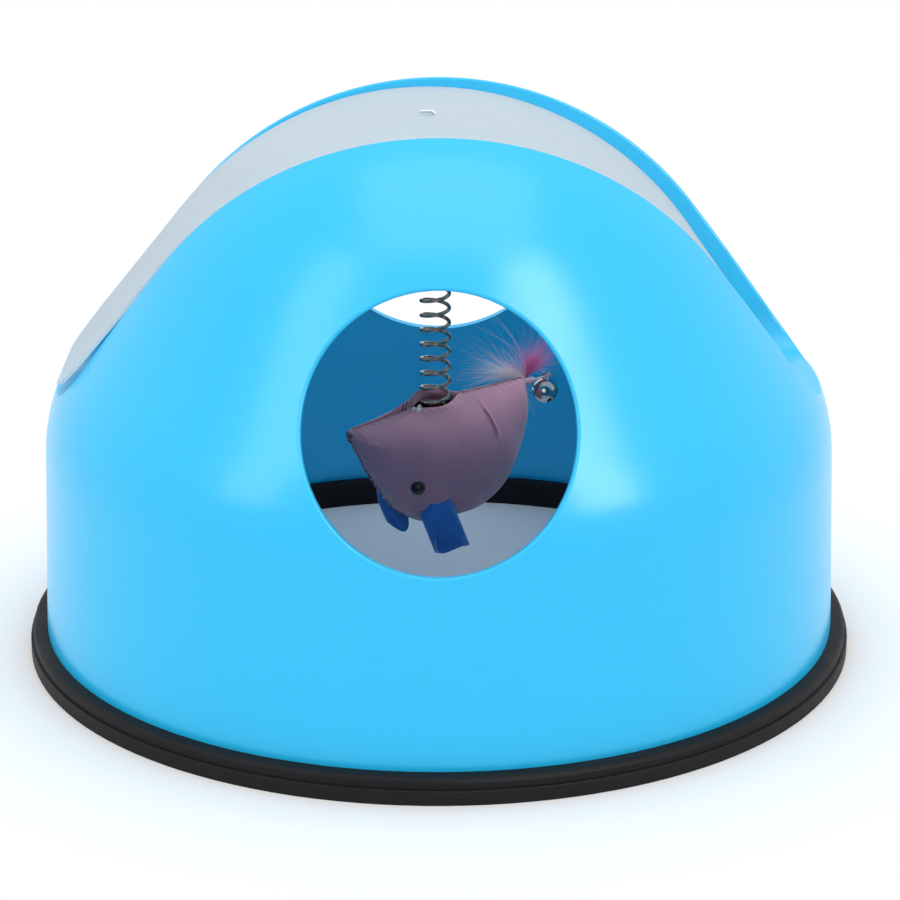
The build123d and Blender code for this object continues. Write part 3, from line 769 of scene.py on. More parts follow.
@dataclass(frozen=True)
class Softbox:
    """An area lamp that the camera doesn't see: its place, size and power in watts, and what it gives."""

    name: str
    place: Triple
    target: Triple
    width: float
    height: float
    power: float
    lights: bool = True
    mirrored: bool = True
    spread: float = math.pi

    def build(self) -> None:
        """Adds the lamp."""
        lamp = bpy.data.lights.new(self.name, "AREA")
        lamp.shape, lamp.size, lamp.size_y = "RECTANGLE", self.width, self.height
        lamp.energy, lamp.spread = self.power, self.spread
        shown = bpy.data.objects.new(self.name, lamp)
        aim(shown, self.place, self.target)
        shown.visible_camera, shown.visible_diffuse, shown.visible_glossy = False, self.lights, self.mirrored


# Lamps round the toy: the reflectors only give reflections
STUDIO_LAMPS = (
    Softbox("top_softbox", (0.07, -0.1, 1.5), (0.07, 0.0, 0.08), 1.2, 1.0, 5.6),
    Softbox("left_reflector", (-1.0, -0.7, 0.96), (0.0, 0.0, 0.08), 0.4, 1.25, 4.6, lights=False),
    Softbox("right_reflector", (0.9, -0.82, 0.96), (0.0, 0.0, 0.08), 0.46, 1.25, 11.5, lights=False),
)
# Lamp under the roof strip, for the light that comes through it
STRIP_LIGHT = Softbox(
    "strip_light",
    (0.046, 0.0, 0.136),
    (0.012, 0.0, 0.07),
    width=0.03,
    height=0.05,
    power=0.0115,
    mirrored=False,
    spread=math.radians(105),
)


@dataclass
class Studio:
    """Floor, lights, world and camera."""

    camera_place: Triple = (0.0, -0.82312, 0.34231)
    camera_target: Triple = (0.00338, 0.0, 0.05884)
    lens: float = 112.99
    sensor: float = 36.0
    clip: Pair = (0.01, 50.0)
    floor_width: float = 12.0
    world_light: float = 0.97
    softboxes: tuple[Softbox, ...] = (*STUDIO_LAMPS, STRIP_LIGHT)

    def build(self) -> None:
        """Adds everything round the toy."""
        scene = bpy.context.scene
        scene.view_settings.view_transform = "Standard"
        self.build_floor()
        self.build_world()
        for softbox in self.softboxes:
            softbox.build()
        lens = bpy.data.cameras.new("camera")
        lens.lens, lens.sensor_width = self.lens, self.sensor
        lens.clip_start, lens.clip_end = self.clip
        camera = bpy.data.objects.new("camera", lens)
        aim(camera, self.camera_place, self.camera_target)
        scene.camera = camera

    def build_floor(self) -> None:
        """Adds a wide white floor under the toy."""
        half = self.floor_width / 2
        corners = [(-half, -half, 0), (half, -half, 0), (half, half, 0), (-half, half, 0)]
        mesh_object("floor", [Vector(c) for c in corners], [(0, 1, 2, 3)], PaleFloor())

    def build_world(self) -> None:
        """Adds an even white sky, full white where the camera or a reflection sees it."""
        world = bpy.data.worlds.new("white_studio")
        bpy.context.scene.world = world
        world.use_nodes = True
        tree = world.node_tree
        tree.nodes.clear()
        level = {"Value": seen_directly(tree), "To Min": self.world_light, "To Max": 1.0}
        strength = add(tree, "ShaderNodeMapRange", level)
        sky = add(tree, "ShaderNodeBackground", {"Color": FULL_WHITE, "Strength": strength})
        add(tree, "ShaderNodeOutputWorld", {"Surface": sky})


@dataclass
class Dome:
    """Blue shell, milky roof strip and rubber base ring: CAD nodes with their real finishes."""

    nodes: dict[str, bpy.types.Object]

    def build(self) -> None:
        """Dresses the dome's nodes."""
        dress(self.nodes, SHELL_ABS, Slot.SHELL, "dome_shell")
        dress(self.nodes, STRIP_SHEET, Slot.STRIP, "roof_strip")
        dress(self.nodes, RING_RUBBER, Slot.RING, "base_ring")


@dataclass
class Hanger:
    """Swivel pin and the coil spring that hangs in its eye."""

    nodes: dict[str, bpy.types.Object]
    hinge: Vector
    outer_diameter: float = 9.7 * MM
    wire: float = 1.2 * MM
    pin_wire: float = 1.0 * MM
    hook_gap: float = 0.12 * MM
    bend: float = 2.0 * MM
    turns: float = 17.5
    steps: int = 36
    bend_steps: int = 6
    hook_steps: int = 18
    # Reach of a curve's handles, as a share of the bend's radius, for a nearly round bend
    handle: float = 0.55

    def build(self) -> None:
        """Dresses the pin and winds the spring."""
        dress(self.nodes, PIN_ZINC, Slot.SPRING, "swivel_pin")
        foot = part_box("spring")[0].z
        parts = MeshParts()
        parts.tube(self.path(foot), self.wire / 2, 12)
        spring = parts.build("coil_spring", SPRING_STEEL)
        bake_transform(spring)
        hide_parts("spring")
        LOG.info("piece coil_spring, %d vertices", len(spring.data.vertices))

    def path(self, foot: float) -> list[Vector]:
        """Middle line of the wire, from its foot in the glue to the end of its hook.

        Args:
            foot: height of the spring's foot.

        Returns:
            The points of the line.
        """
        radius = (self.outer_diameter - self.wire) / 2
        top = self.hinge.z + (self.wire + self.pin_wire) / 2 + self.hook_gap
        slope = math.atan2((top - foot) / self.turns, 2 * math.pi * radius)
        run = self.bend * (1 - math.sin(slope))
        rise = self.bend * math.cos(slope)
        hook = math.hypot(radius, run)
        hook_z = top - hook
        last = -math.atan2(run, radius)
        low, high = foot + self.wire + rise, hook_z - rise
        count = round(self.turns * self.steps)
        coil = []
        for index in range(count + 1):
            angle = last - (count - index) * 2 * math.pi / self.steps
            height = low + (high - low) * index / count
            coil.append(Vector((self.hinge.x + radius * math.cos(angle), radius * math.sin(angle), height)))
        into = (coil[1] - coil[0]).normalized()
        out = (coil[-1] - coil[-2]).normalized()
        level = Vector((into.x, into.y, 0)).normalized()
        heel = coil[0] - level * run - Vector((0, 0, rise))
        reach = Vector((0, 0, self.bend * self.handle))
        start = bezier(heel, heel + reach, coil[0] - into * reach.z, coil[0], self.bend_steps)
        side = Vector((self.hinge.x + hook, 0, hook_z))
        bend = bezier(coil[-1], coil[-1] + out * reach.z, side - reach, side, self.bend_steps)
        loop = [
            Vector((self.hinge.x + hook * math.cos(turn), 0, hook_z + hook * math.sin(turn)))
            for turn in (math.pi * index / self.hook_steps for index in range(self.hook_steps + 1))
        ]
        tip = loop[-1] - Vector((0, 0, self.wire))
        return [heel - Vector((0, 0, self.wire))] + start[:-1] + coil[:-1] + bend[:-1] + loop + [tip]


@dataclass(frozen=True)
class MouseAxes:
    """The mouse's own frame: X runs from nose to tail along the belly seam and Z points out of the belly."""

    origin: Vector
    along: Vector
    across: Vector
    up: Vector

    def turn(self, direction: Sequence[float]) -> Vector:
        """A direction of the mouse's frame in the part's frame."""
        return self.along * direction[0] + self.across * direction[1] + self.up * direction[2]

    def place(self, point: Sequence[float]) -> Vector:
        """A point of the mouse's frame in the part's frame."""
        return self.origin + self.turn(point)


@dataclass(frozen=True)
class Crease:
    """A line pressed into a panel: its points along and under the belly seam, its width and depth."""

    line: tuple[Pair, ...]
    width: float
    depth: float

    def sink(self, x: np.ndarray, z: np.ndarray) -> np.ndarray:
        """How far the panel is pressed in at each of its points.

        Args:
            x: the points' places along the belly seam.
            z: their places over the belly seam.

        Returns:
            The depth at each point.
        """
        least = np.full(x.shape, np.inf)
        for (ax, az), (bx, bz) in zip(self.line, self.line[1:]):
            run_x, run_z = bx - ax, bz - az
            share = np.clip(((x - ax) * run_x + (z - az) * run_z) / (run_x**2 + run_z**2), 0, 1)
            least = np.minimum(least, np.hypot(x - ax - share * run_x, z - az - share * run_z))
        return self.depth * np.exp(-((least / self.width) ** 2))


def crease(width: float, depth: float, *points: Pair) -> Crease:
    """A crease from millimetres."""
    return Crease(tuple((x * MM, z * MM) for x, z in points), width * MM, depth * MM)


@dataclass
class PlushMouse:
    """Mouse of two stuffed cotton panels, hung belly up on the spring that is glued into its belly seam."""

    axes: MouseAxes
    length: float = 60.0 * MM
    nose_reach: float = 29.6 * MM
    depth: float = 36.6 * MM
    half_width: float = 14.0 * MM
    place_shares: tuple[float, ...] = (0.0, 0.075, 0.185, 0.36, 0.58, 0.76, 0.89, 1.0)
    depth_shares: tuple[float, ...] = (0.12, 0.43, 0.79, 0.985, 1.0, 0.885, 0.62, 0.25)
    width_shares: tuple[float, ...] = (0.3, 0.5, 0.75, 0.97, 1.0, 0.86, 0.6, 0.36)
    end_share: float = 0.07
    nose_round: float = 2.0 * MM
    tail_round: float = 0.7 * MM
    widest_power: float = 1.25
    columns: int = 220
    rows: int = 130
    cloth: float = 0.6 * MM
    # Opening in the belly seam round the spring
    slit_half_length: float = 8.6 * MM
    slit_half_width: float = 5.8 * MM
    slit_soft: float = 6.0 * MM
    slit_power: float = 1.5
    belly_rise: float = 1.5 * MM
    lip_rise: float = 2.8 * MM
    lip_place: float = -5.5 * MM
    lip_reach: float = 9.0 * MM
    # In-turned edge of the cloth: how far in and down each row lies from the seam
    hem: tuple[Pair, ...] = (
        (0.9 * MM, 2.8 * MM),
        (0.75 * MM, 1.0 * MM),
        (0.35 * MM, 0.2 * MM),
    )
    hem_least: float = 0.25
    # Seam groove, puckers and the lumps of the stuffing
    groove: float = 0.5 * MM
    groove_width: float = 0.8 * MM
    pucker: float = 0.12 * MM
    pucker_step: float = 2.7 * MM
    pucker_reach: float = 2.4 * MM
    pucker_drift: float = 3.0
    pucker_drift_step: float = 4.0 * MM
    lump: float = 0.1 * MM
    lump_step: float = 15.0 * MM
    lump_fade: float = 6.0 * MM
    # Dart by the tail, slit of the ear and the folds that run from it, the eye's hollow, pulls at the nose
    creases: tuple[Crease, ...] = (
        crease(0.42, 0.28, (12.3, -0.4), (12.5, -2.6)),
        crease(0.5, 0.6, (12.5, -2.6), (13.9, -10.0)),
        crease(0.8, 0.16, (13.9, -10.0), (14.7, -13.0)),
        crease(1.1, 0.9, (-14.6, -28.4), (-6.1, -25.3)),
        crease(0.5, 0.3, (-6.1, -25.3), (-4.6, -22.4), (-2.6, -20.8)),
        crease(1.6, -0.3, (-7.4, -21.6), (-4.4, -19.0)),
        crease(2.4, 0.45, (-14.6, -18.8), (-14.4, -18.8)),
        crease(0.8, 0.22, (-28.4, -2.2), (-23.0, -4.6)),
        crease(0.8, 0.2, (-28.2, -4.2), (-23.5, -9.5)),
    )
    # Stuffing: its grid, its reach along the mouse, its gap to the cloth and its lumps
    wadding_grid: tuple[int, int] = (70, 40)
    wadding_reach: Pair = (0.07, 0.93)
    wadding_gap: float = 2.0 * MM
    wadding_top: float = 10.0 * MM
    wadding_lump: float = 0.25 * MM
    wadding_waves: Triple = (1.1 * MM, 1.3 * MM, 0.8 * MM)
    # Hollow round the spring and the tuft beside it: half length, half width and height
    hollow: Triple = (7.0 * MM, 6.0 * MM, 5.5 * MM)
    tuft: Triple = (2.2 * MM, 1.8 * MM, 4.6 * MM)
    tuft_place: Pair = (1.5 * MM, 4.2 * MM)
    # Set glue: shares of the puddle's radius and half height, a drop's radii and heights in millimetres, and
    # the place in millimetres and the size of each drop
    puddle: tuple[Pair, ...] = (
        (0.0, -1.0), (0.62, -1.0), (0.9, -0.6), (1.0, 0.0),
        (0.93, 0.55), (0.75, 0.86), (0.45, 0.96), (0.0, 1.0),
    )
    drop: tuple[Pair, ...] = (
        (0.0, -2.4), (1.3, -1.7), (1.75, -0.5), (1.5, 0.6),
        (0.9, 1.3), (0.35, 1.75), (0.0, 1.9),
    )
    drops: tuple[tuple[float, float, float, float], ...] = (
        (-6.6, -2.2, 0.9, 0.6),
        (-5.3, -3.2, 0.5, 0.45),
        (-7.6, -1.2, 1.3, 0.42),
        (-6.0, -2.0, 1.9, 0.34),
    )
    glue_sway: Triple = (0.2 * MM, -0.16 * MM, 0.15 * MM)
    glue_waves: Pair = (0.9 * MM, 0.7 * MM)
    # Sewing: length and step of the running stitches, and the radii of the threads
    stitch_length: float = 1.6 * MM
    stitch_step: float = 2.2 * MM
    thread: float = 0.22 * MM
    nose_thread: float = 0.26 * MM
    fine_thread: float = 0.14 * MM
    nose_stitches: int = 4
    # Loose fibres of the cloth: how many, how long in millimetres, and their radius
    nap_count: int = 900
    nap_reach: Pair = (0.4, 1.1)
    nap_fibre: float = 0.022 * MM
    seed: int = 7

    def __post_init__(self) -> None:
        """Shapes both panels."""
        self.grids: dict[Side, np.ndarray] = {}
        self.flats: dict[Side, np.ndarray] = {}
        self.normals: dict[Side, np.ndarray] = {}
        for side in Side:
            self.shape_panel(side)

    def base(
        self, a: np.ndarray, b: np.ndarray, inset: float = 0.0
    ) -> tuple[np.ndarray, np.ndarray, np.ndarray]:
        """Stuffed form of one side before any seam or fold.

        Args:
            a: shares of the length from nose to tail.
            b: shares of the girth from the belly seam to the back seam.
            inset: how far the form lies inside the cloth's outer face.

        Returns:
            Places along, out from and over the belly seam.
        """
        deep = self.depth * table_value(self.place_shares, self.depth_shares, a) - 2 * inset
        half = self.half_width * table_value(self.place_shares, self.width_shares, a) - inset
        nose = np.clip(1 - a / self.end_share, 0, 1)
        tail = np.clip(1 - (1 - a) / self.end_share, 0, 1)
        half = half * np.sqrt(1 - np.maximum(nose, tail) ** 2)
        ends = self.nose_round * nose**2 - self.tail_round * tail**2
        x = -self.nose_reach + a * self.length + ends * (2 * b - 1) ** 2
        z = -inset - deep * ((1 - np.cos(math.pi * b)) / 2) ** self.widest_power
        return x, half * np.sin(math.pi * b), z

    def shape_panel(self, side: Side) -> None:
        """Shapes one cotton panel and keeps its points, flat coordinates and normals as grids.

        Args:
            side: which side of the mouse it covers.
        """
        turn = np.linspace(0, math.pi, self.columns)
        a = ((1 - np.cos(turn)) / 2)[:, None]
        b = np.linspace(0, 1, self.rows)[None, :]
        x, y, z = self.base(a, b)
        lens = np.clip(1 - (x / self.slit_half_length) ** 2, 0, 1) ** self.slit_power
        fade = np.exp(-(((y + np.abs(z)) / self.slit_soft) ** self.slit_power))
        y = y + self.slit_half_width * lens * fade
        z = z + self.belly_rise * np.exp(-((x / (2 * self.slit_half_length)) ** 2)) * fade
        if side is Side.FAR:
            z = z + self.lip_rise * np.exp(-(((x - self.lip_place) / self.lip_reach) ** 2)) * fade
        grid = np.stack([x, y, z], axis=-1)
        steps = np.linalg.norm(np.diff(grid, axis=1), axis=2)
        down = np.concatenate([np.zeros((self.columns, 1)), np.cumsum(steps, axis=1)], axis=1)
        steps = np.linalg.norm(np.diff(grid, axis=0), axis=2)
        to_tail = np.concatenate([np.zeros((1, self.rows)), np.cumsum(steps, axis=0)], axis=0)
        edge = np.minimum.reduce([down, down[:, -1:] - down, to_tail, to_tail[-1:] - to_tail])
        run = x + z
        sink = self.groove * np.exp(-((edge / self.groove_width) ** 2)) * (1 - lens * fade)
        drift = self.pucker_drift * np.sin(run / self.pucker_drift_step)
        ripple = self.pucker * np.sin(2 * math.pi * run / self.pucker_step + drift)
        ripple = ripple * np.exp(-edge / self.pucker_reach) * np.clip(edge / self.groove_width, 0, 1)
        # Waves that cross at unlike steps, so that no lump repeats
        wave = 2 * math.pi / self.lump_step
        lumps = np.sin(wave * x + 1.3 * side.value) * np.sin(0.8 * wave * z)
        lumps = lumps + 0.6 * np.sin(1.7 * wave * (z - 0.4 * x))
        ripple = ripple + self.lump * lumps * np.clip(edge / self.lump_fade, 0, 1)
        for fold in self.creases:
            sink = sink + fold.sink(x, z)
        normal = np.cross(np.gradient(grid, axis=1), np.gradient(grid, axis=0))
        normal = normal / np.maximum(np.linalg.norm(normal, axis=2, keepdims=True), 1e-12)
        grid = grid + normal * (ripple - sink)[:, :, None]
        grid[:, :, 1] = np.maximum(grid[:, :, 1], 0)
        lip = grid[:, :1]
        hems = []
        for reach, drop in self.hem:
            row = lip.copy()
            row[:, :, 1] = np.maximum(lip[:, :, 1] - reach, self.hem_least * lip[:, :, 1])
            row[:, :, 2] -= drop
            hems.append(row)
        grid = np.concatenate([*hems, grid], axis=1)
        extra = len(self.hem)
        down = np.concatenate([down[:, :1] - MM * (extra - np.arange(extra)), down], axis=1)
        grid[:, :, 1] *= side.value
        self.grids[side] = grid
        self.flats[side] = np.stack([np.broadcast_to(x[:, x.shape[1] // 2, None], down.shape), down], axis=-1)
        normal = np.cross(np.gradient(grid, axis=1), np.gradient(grid, axis=0)) * side.value
        self.normals[side] = normal / np.maximum(np.linalg.norm(normal, axis=2, keepdims=True), 1e-12)

    def on_side(self, side: Side, x: float, z: float, lift: float) -> Vector:
        """A place over a panel's face.

        Args:
            side: the panel's side.
            x: place along the belly seam.
            z: place over the belly seam.
            lift: how far it lies out of the cloth.

        Returns:
            The place in the part's frame.
        """
        grid = self.grids[side].reshape(-1, 3)
        index = int(np.argmin((grid[:, 0] - x) ** 2 + (grid[:, 2] - z) ** 2))
        return self.axes.place(grid[index] + self.normals[side].reshape(-1, 3)[index] * lift)

    def seam_line(
        self, side: Side, back: bool, reach: float, start: float, end: float
    ) -> list[tuple[Vector, Vector]]:
        """Line on a panel beside one of its seams.

        Args:
            side: the panel's side.
            back: whether it is the back seam rather than the belly seam.
            reach: how far from the seam the line lies.
            start: where it starts along the belly.
            end: where it ends along the belly.

        Returns:
            Places and outward directions in the part's frame.
        """
        down = self.flats[side][:, :, 1]
        apart = down[:, -1:] - down if back else np.abs(down)
        line = []
        for column, row in enumerate(np.argmin(np.abs(apart - reach), axis=1)):
            spot = self.grids[side][column, row]
            if start <= spot[0] <= end:
                line.append((self.axes.place(spot), self.axes.turn(self.normals[side][column, row])))
        return line

    def build_side(self, side: Side, name: str, node: str) -> None:
        """Makes one stuffed side from its panel.

        Args:
            side: which side it is.
            name: the piece's name.
            node: the CAD node that it stands for.
        """
        grid = self.grids[side]
        rows = grid.shape[1]
        faces = []
        for column in range(self.columns - 1):
            for row in range(rows - 1):
                corner = column * rows + row
                face = (corner, corner + rows, corner + rows + 1, corner + 1)
                faces.append(face if side is Side.FAR else face[::-1])
        world = [self.axes.place(p) for p in grid.reshape(-1, 3)]
        cloth = mesh_object(name, world, faces, MOUSE_COTTON, self.flats[side].reshape(-1, 2))
        # Inner face in the darker back cloth: painted shade inside the slit
        cloth.data.materials.append(COTTON_BACK_PAINTED_SHADE.build())
        thick = cloth.modifiers.new("cloth_thickness", "SOLIDIFY")
        thick.thickness = self.cloth
        thick.offset, thick.material_offset = -1.0, 1
        settle(cloth, Body.MOUSE, Slot.CLOTH, node)

    def build_wadding(self) -> None:
        """Makes the stuffing: a lumpy mass with a hollow round the spring and a red tuft that looks out."""
        columns, rows = self.wadding_grid
        a = np.linspace(*self.wadding_reach, columns)[:, None]
        b = np.linspace(0, 1, rows)[None, :]
        x, y, z = self.base(a, b, self.wadding_gap)
        ring = [np.stack([x, -y, z], axis=-1), np.stack([x, y, z], axis=-1)[:, -2:0:-1]]
        grid = np.concatenate(ring, axis=1)
        x, y, z = grid[..., 0], grid[..., 1], grid[..., 2]
        top = np.clip(1 + z / self.wadding_top, 0, 1)
        long, wide, deep = self.hollow
        hollow = np.exp(-((x / long) ** 4)) * np.exp(-((y / wide) ** 4))
        long, wide, high = self.tuft
        tuft_x, tuft_y = self.tuft_place
        tuft = np.exp(-(((x - tuft_x) / long) ** 2 + ((y - tuft_y) / wide) ** 2))
        wave_x, wave_y, slant = self.wadding_waves
        lumps = np.sin(x / wave_x) * np.sin(y / wave_y) + np.sin((x - y) / slant)
        grid[..., 2] = z + top * (high * tuft - deep * hollow * (1 - tuft) + self.wadding_lump * lumps)
        around = grid.shape[1]
        faces: list[tuple[int, ...]] = []
        for start in range(0, (columns - 1) * around, around):
            for row in range(around):
                after = (row + 1) % around
                faces.append((start + row, start + after, start + around + after, start + around + row))
        faces.append(tuple(reversed(range(around))))
        faces.append(tuple((columns - 1) * around + r for r in range(around)))
        piece = mesh_object(
            "red_wadding", [self.axes.place(p) for p in grid.reshape(-1, 3)], faces, RED_WADDING
        )
        settle(piece, Body.MOUSE, Slot.FILLING, "mouse_filling")

    def build_glue(self) -> None:
        """Makes the set glue: a puddle under the spring's foot and a blob at the slit's nose end."""
        low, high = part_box("glue_plug")
        middle = (low + high) / 2
        radius, half = (high.x - low.x) / 2, (high.z - low.z) / 2
        parts = MeshParts()
        parts.lathe([(wide * radius, tall * half) for wide, tall in self.puddle], Matrix.Translation(middle))
        for *spot, size in self.drops:
            frame = Matrix.Translation(self.axes.place([value * MM for value in spot]))
            parts.lathe([(r * size * MM, h * size * MM) for r, h in self.drop], frame, sides=20)
        for index, point in enumerate(parts.points):
            push = math.sin(point.x / self.glue_waves[0]) * math.cos(point.y / self.glue_waves[1] + index % 2)
            parts.points[index] = point + Vector(self.glue_sway) * push
        settle(parts.build("set_glue", HOT_MELT), Body.MOUSE, Slot.GLUE, "glue_plug")

    def stitch(self, parts: MeshParts, a: Vector, b: Vector, out: Vector, radius: float) -> None:
        """Adds one stitch that dips into the cloth at both ends.

        Args:
            parts: where it is added.
            a: where it comes out.
            b: where it goes in.
            out: direction out of the cloth.
            radius: the thread's radius.
        """
        ends = out * (-1.5 * radius)
        path = [a + ends, a.lerp(b, 0.12) + out * (0.6 * radius), a.lerp(b, 0.5) + out * radius]
        parts.tube(path + [a.lerp(b, 0.88) + out * (0.6 * radius), b + ends], radius, 6)

    def build_stitches(self) -> None:
        """Sews the seams: running stitches, a stitched nose, a closed slit and the dart's thread."""
        dark, pale = MeshParts(), MeshParts()
        line = self.seam_line(Side.NEAR, back=True, reach=0.75 * MM, start=-28.6 * MM, end=-14.0 * MM)
        travelled, start = 0.0, line[0]
        for last, here in zip(line, line[1:]):
            travelled += (here[0] - last[0]).length
            if start and travelled >= self.stitch_length:
                self.stitch(dark, start[0], here[0], here[1], self.thread)
                start = None
            if travelled >= self.stitch_step:
                travelled, start = 0.0, here
        for start_x, end_x in ((-29.0 * MM, -9.0 * MM), (9.0 * MM, 29.6 * MM)):
            line = self.seam_line(Side.NEAR, back=False, reach=0.25 * MM, start=start_x, end=end_x)
            dark.tube([place + out * (0.05 * MM) for place, out in line[::2]], self.fine_thread, 6)
        turns = ((-28.8, -1.6, 0.0), (-30.2, -0.9, 0.1), (-30.2, 0.9, 0.3), (-28.8, 1.6, 0.4))
        for index in range(self.nose_stitches):
            z = -0.9 - 0.75 * index
            loop = [self.axes.place((x * MM, y * MM, (z + lift) * MM)) for x, y, lift in turns]
            dark.tube(bezier(*loop, 12), self.nose_thread, 6)
        dart = [(12.5, -2.4), (12.7, -4.0), (13.1, -6.0), (13.5, -8.0), (13.9, -10.2)]
        path = [self.on_side(Side.NEAR, x * MM, z * MM, 0.04 * MM) for x, z in dart]
        dark.tube(path, lambda t: self.fine_thread * math.sin(math.pi * (0.1 + 0.8 * t)), 6)
        closing = ((pale, (-11.4, -10.2, -9.2)), (dark, (-10.8, -9.7, 8.6, 9.3)), (pale, (8.9,)))
        for parts, places in closing:
            for x in places:
                near = self.seam_line(Side.NEAR, False, 1.0 * MM, (x - 0.5) * MM, (x + 0.5) * MM)[0]
                far = self.seam_line(Side.FAR, False, 1.0 * MM, x * MM, (x + 0.9) * MM)[-1]
                self.stitch(parts, near[0], far[0], self.axes.up, self.thread)
        settle(dark.build("dark_stitches", SEAM_THREAD), Body.MOUSE, Slot.THREAD)
        settle(pale.build("pale_stitches", PALE_THREAD), Body.MOUSE, Slot.THREAD)

    def build_nap(self) -> None:
        """Adds the loose fibres that stand off the cloth at the rump and along the belly seam."""
        chance = random.Random(self.seed)
        parts = MeshParts()
        for _ in range(self.nap_count):
            side = chance.choice(tuple(Side))
            grid, normal = self.grids[side], self.normals[side]
            column = int(self.columns * (0.55 + 0.44 * math.sqrt(chance.random())))
            row = chance.randrange(len(self.hem) + 1, grid.shape[1])
            root = self.axes.place(grid[column, row])
            out = self.axes.turn(normal[column, row])
            lean = Vector([chance.uniform(-0.7, 0.7) for _ in range(3)])
            reach = chance.uniform(*self.nap_reach) * MM
            parts.tube([root, root + out * (0.6 * reach), root + (out + lean) * reach], self.nap_fibre, 3)
        settle(parts.build("cotton_nap", COTTON_NAP), Body.MOUSE, Slot.CLOTH)

    def build(self) -> None:
        """Builds the mouse's body."""
        self.build_side(Side.NEAR, "near_side_cotton", "mouse_near_side")
        self.build_side(Side.FAR, "far_side_cotton", "mouse_far_side")
        self.build_wadding()
        self.build_glue()
        self.build_stitches()
        self.build_nap()


@dataclass
class FeltEar:
    """Ear of one piece of felt, rolled so that one edge laps over the other, and sewn into the head."""

    axes: MouseAxes
    name: str
    node: str
    root: Triple
    tip: Triple
    front: Triple
    width: float = 9.8 * MM
    thickness: float = 4.8 * MM
    felt: float = 1.1 * MM
    sunk: float = 2.5 * MM
    # Turns of the lapping edge at root and tip and of the tucked edge, from the tail side by the front
    lap_root: float = math.radians(62)
    lap_tip: float = math.radians(160)
    tucked: float = math.radians(484)
    tuck: float = 1.5 * MM
    # Shares of the length that are cut off at the front, round the tip, at the fold and at the lap's corner
    front_cut: float = 0.24
    tip_round: float = 0.0
    fold_round: float = 0.08
    corner: float = 0.09
    corner_reach: float = 0.05
    # The root's width and opening as shares of the ear's, how far along it widens, and its lean to the tail
    root_share: float = 0.12
    root_open: float = 0.72
    root_reach: float = 0.34
    root_lean: float = 0.75
    bow: float = 0.7 * MM
    ripple: float = 0.12 * MM
    flatness: float = 0.9
    around: int = 84
    down: int = 34

    def build(self) -> None:
        """Rolls the felt and sets the ear in place."""
        root, tip = self.axes.place(self.root), self.axes.place(self.tip)
        axis = (tip - root).normalized()
        front = self.axes.turn(self.front)
        front = (front - axis * front.dot(axis)).normalized()
        side = front.cross(axis)
        length = (tip - root).length + self.sunk
        points, faces = [], []
        for j in range(self.down):
            v = j / (self.down - 1)
            lap = self.lap_root + (self.lap_tip - self.lap_root) * v
            grown = min(v / self.root_reach, 1)
            open_share = self.root_open + (1 - self.root_open) * grown
            flare = self.root_share + (1 - self.root_share) * grown
            for i in range(self.around):
                turn = lap + (self.tucked - lap) * i / (self.around - 1)
                cosine, sine = math.cos(turn), math.sin(turn)
                late = min(max((turn - 2 * math.pi) / (math.pi / 2), 0), 1)
                late = late * late * (3 - 2 * late)
                reach = v * length * (1 - self.front_cut * late - self.tip_round * cosine * cosine)
                corner_cut = self.corner * math.exp(-i / (self.corner_reach * self.around))
                reach *= 1 - corner_cut - self.fold_round * max(0, -cosine) ** 3
                flat = math.copysign(abs(cosine) ** self.flatness, cosine)
                out = self.thickness / 2 * open_share * sine - self.tuck * late * v
                out += self.bow * math.sin(math.pi * v) + self.ripple * math.sin(5 * turn + 9 * v)
                across = side * (self.width / 2 * (flat * flare + self.root_lean * (1 - flare)))
                points.append(root + axis * (reach - self.sunk) + across + front * out)
        for j in range(self.down - 1):
            for i in range(self.around - 1):
                corner = j * self.around + i
                faces.append((corner, corner + 1, corner + self.around + 1, corner + self.around))
        ear = mesh_object(self.name, points, faces, EAR_FELT)
        # Cut edges in the paler felt: painted highlight along the rims
        ear.data.materials.append(FELT_EDGE_PAINTED_HIGHLIGHT.build())
        thick = ear.modifiers.new("felt_thickness", "SOLIDIFY")
        thick.thickness, thick.offset, thick.material_offset_rim = self.felt, 0.0, 1
        edge = ear.modifiers.new("cut_edges", "BEVEL")
        edge.width, edge.segments, edge.angle_limit = 0.2 * MM, 2, math.radians(50)
        settle(ear, Body.MOUSE, Slot.FELT, self.node)


@dataclass(frozen=True)
class Spray:
    """Barbs from one root: root, reach and bend in millimetres, spread, number and a barb's radius."""

    root: Triple
    reach: Triple
    spread: float
    count: int
    bend: Triple
    radius: float


@dataclass(frozen=True)
class BellRoom:
    """Room that the bell sweeps when it swings, which pushes the loose down aside."""

    middle: Vector
    hinge: Vector
    axis: Vector
    swing: float = math.radians(36)
    radius: float = 4.3 * MM

    def clears(self, path: Sequence[Vector]) -> bool:
        """Whether a barb stays out of the room.

        Args:
            path: the barb's points.

        Returns:
            True if all its points do.
        """
        for share in (-1.0, -0.5, 0.0, 0.5, 1.0):
            arm = Matrix.Rotation(share * self.swing, 3, self.axis) @ (self.middle - self.hinge)
            if any((point - self.hinge - arm).length < self.radius for point in path):
                return False
        return True


@dataclass
class JingleBell:
    """Pressed bell with its shank and its pea: CAD nodes with their real finish."""

    nodes: dict[str, bpy.types.Object]
    hinge: Vector
    axis: Vector
    halves: tuple[str, str] = ("bell_upper_half", "bell_lower_half")

    def build(self) -> None:
        """Dresses the bell's nodes."""
        dress(self.nodes, BELL_NICKEL, Slot.NICKEL, *self.halves, "bell_shank", "bell_pea")

    def room(self) -> BellRoom:
        """Finds the room that the bell sweeps.

        Returns:
            The room about the middle of its two halves.
        """
        corners = [Vector(corner) for half in self.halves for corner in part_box(half)]
        return BellRoom(sum(corners, Vector()) / len(corners), self.hinge, self.axis)


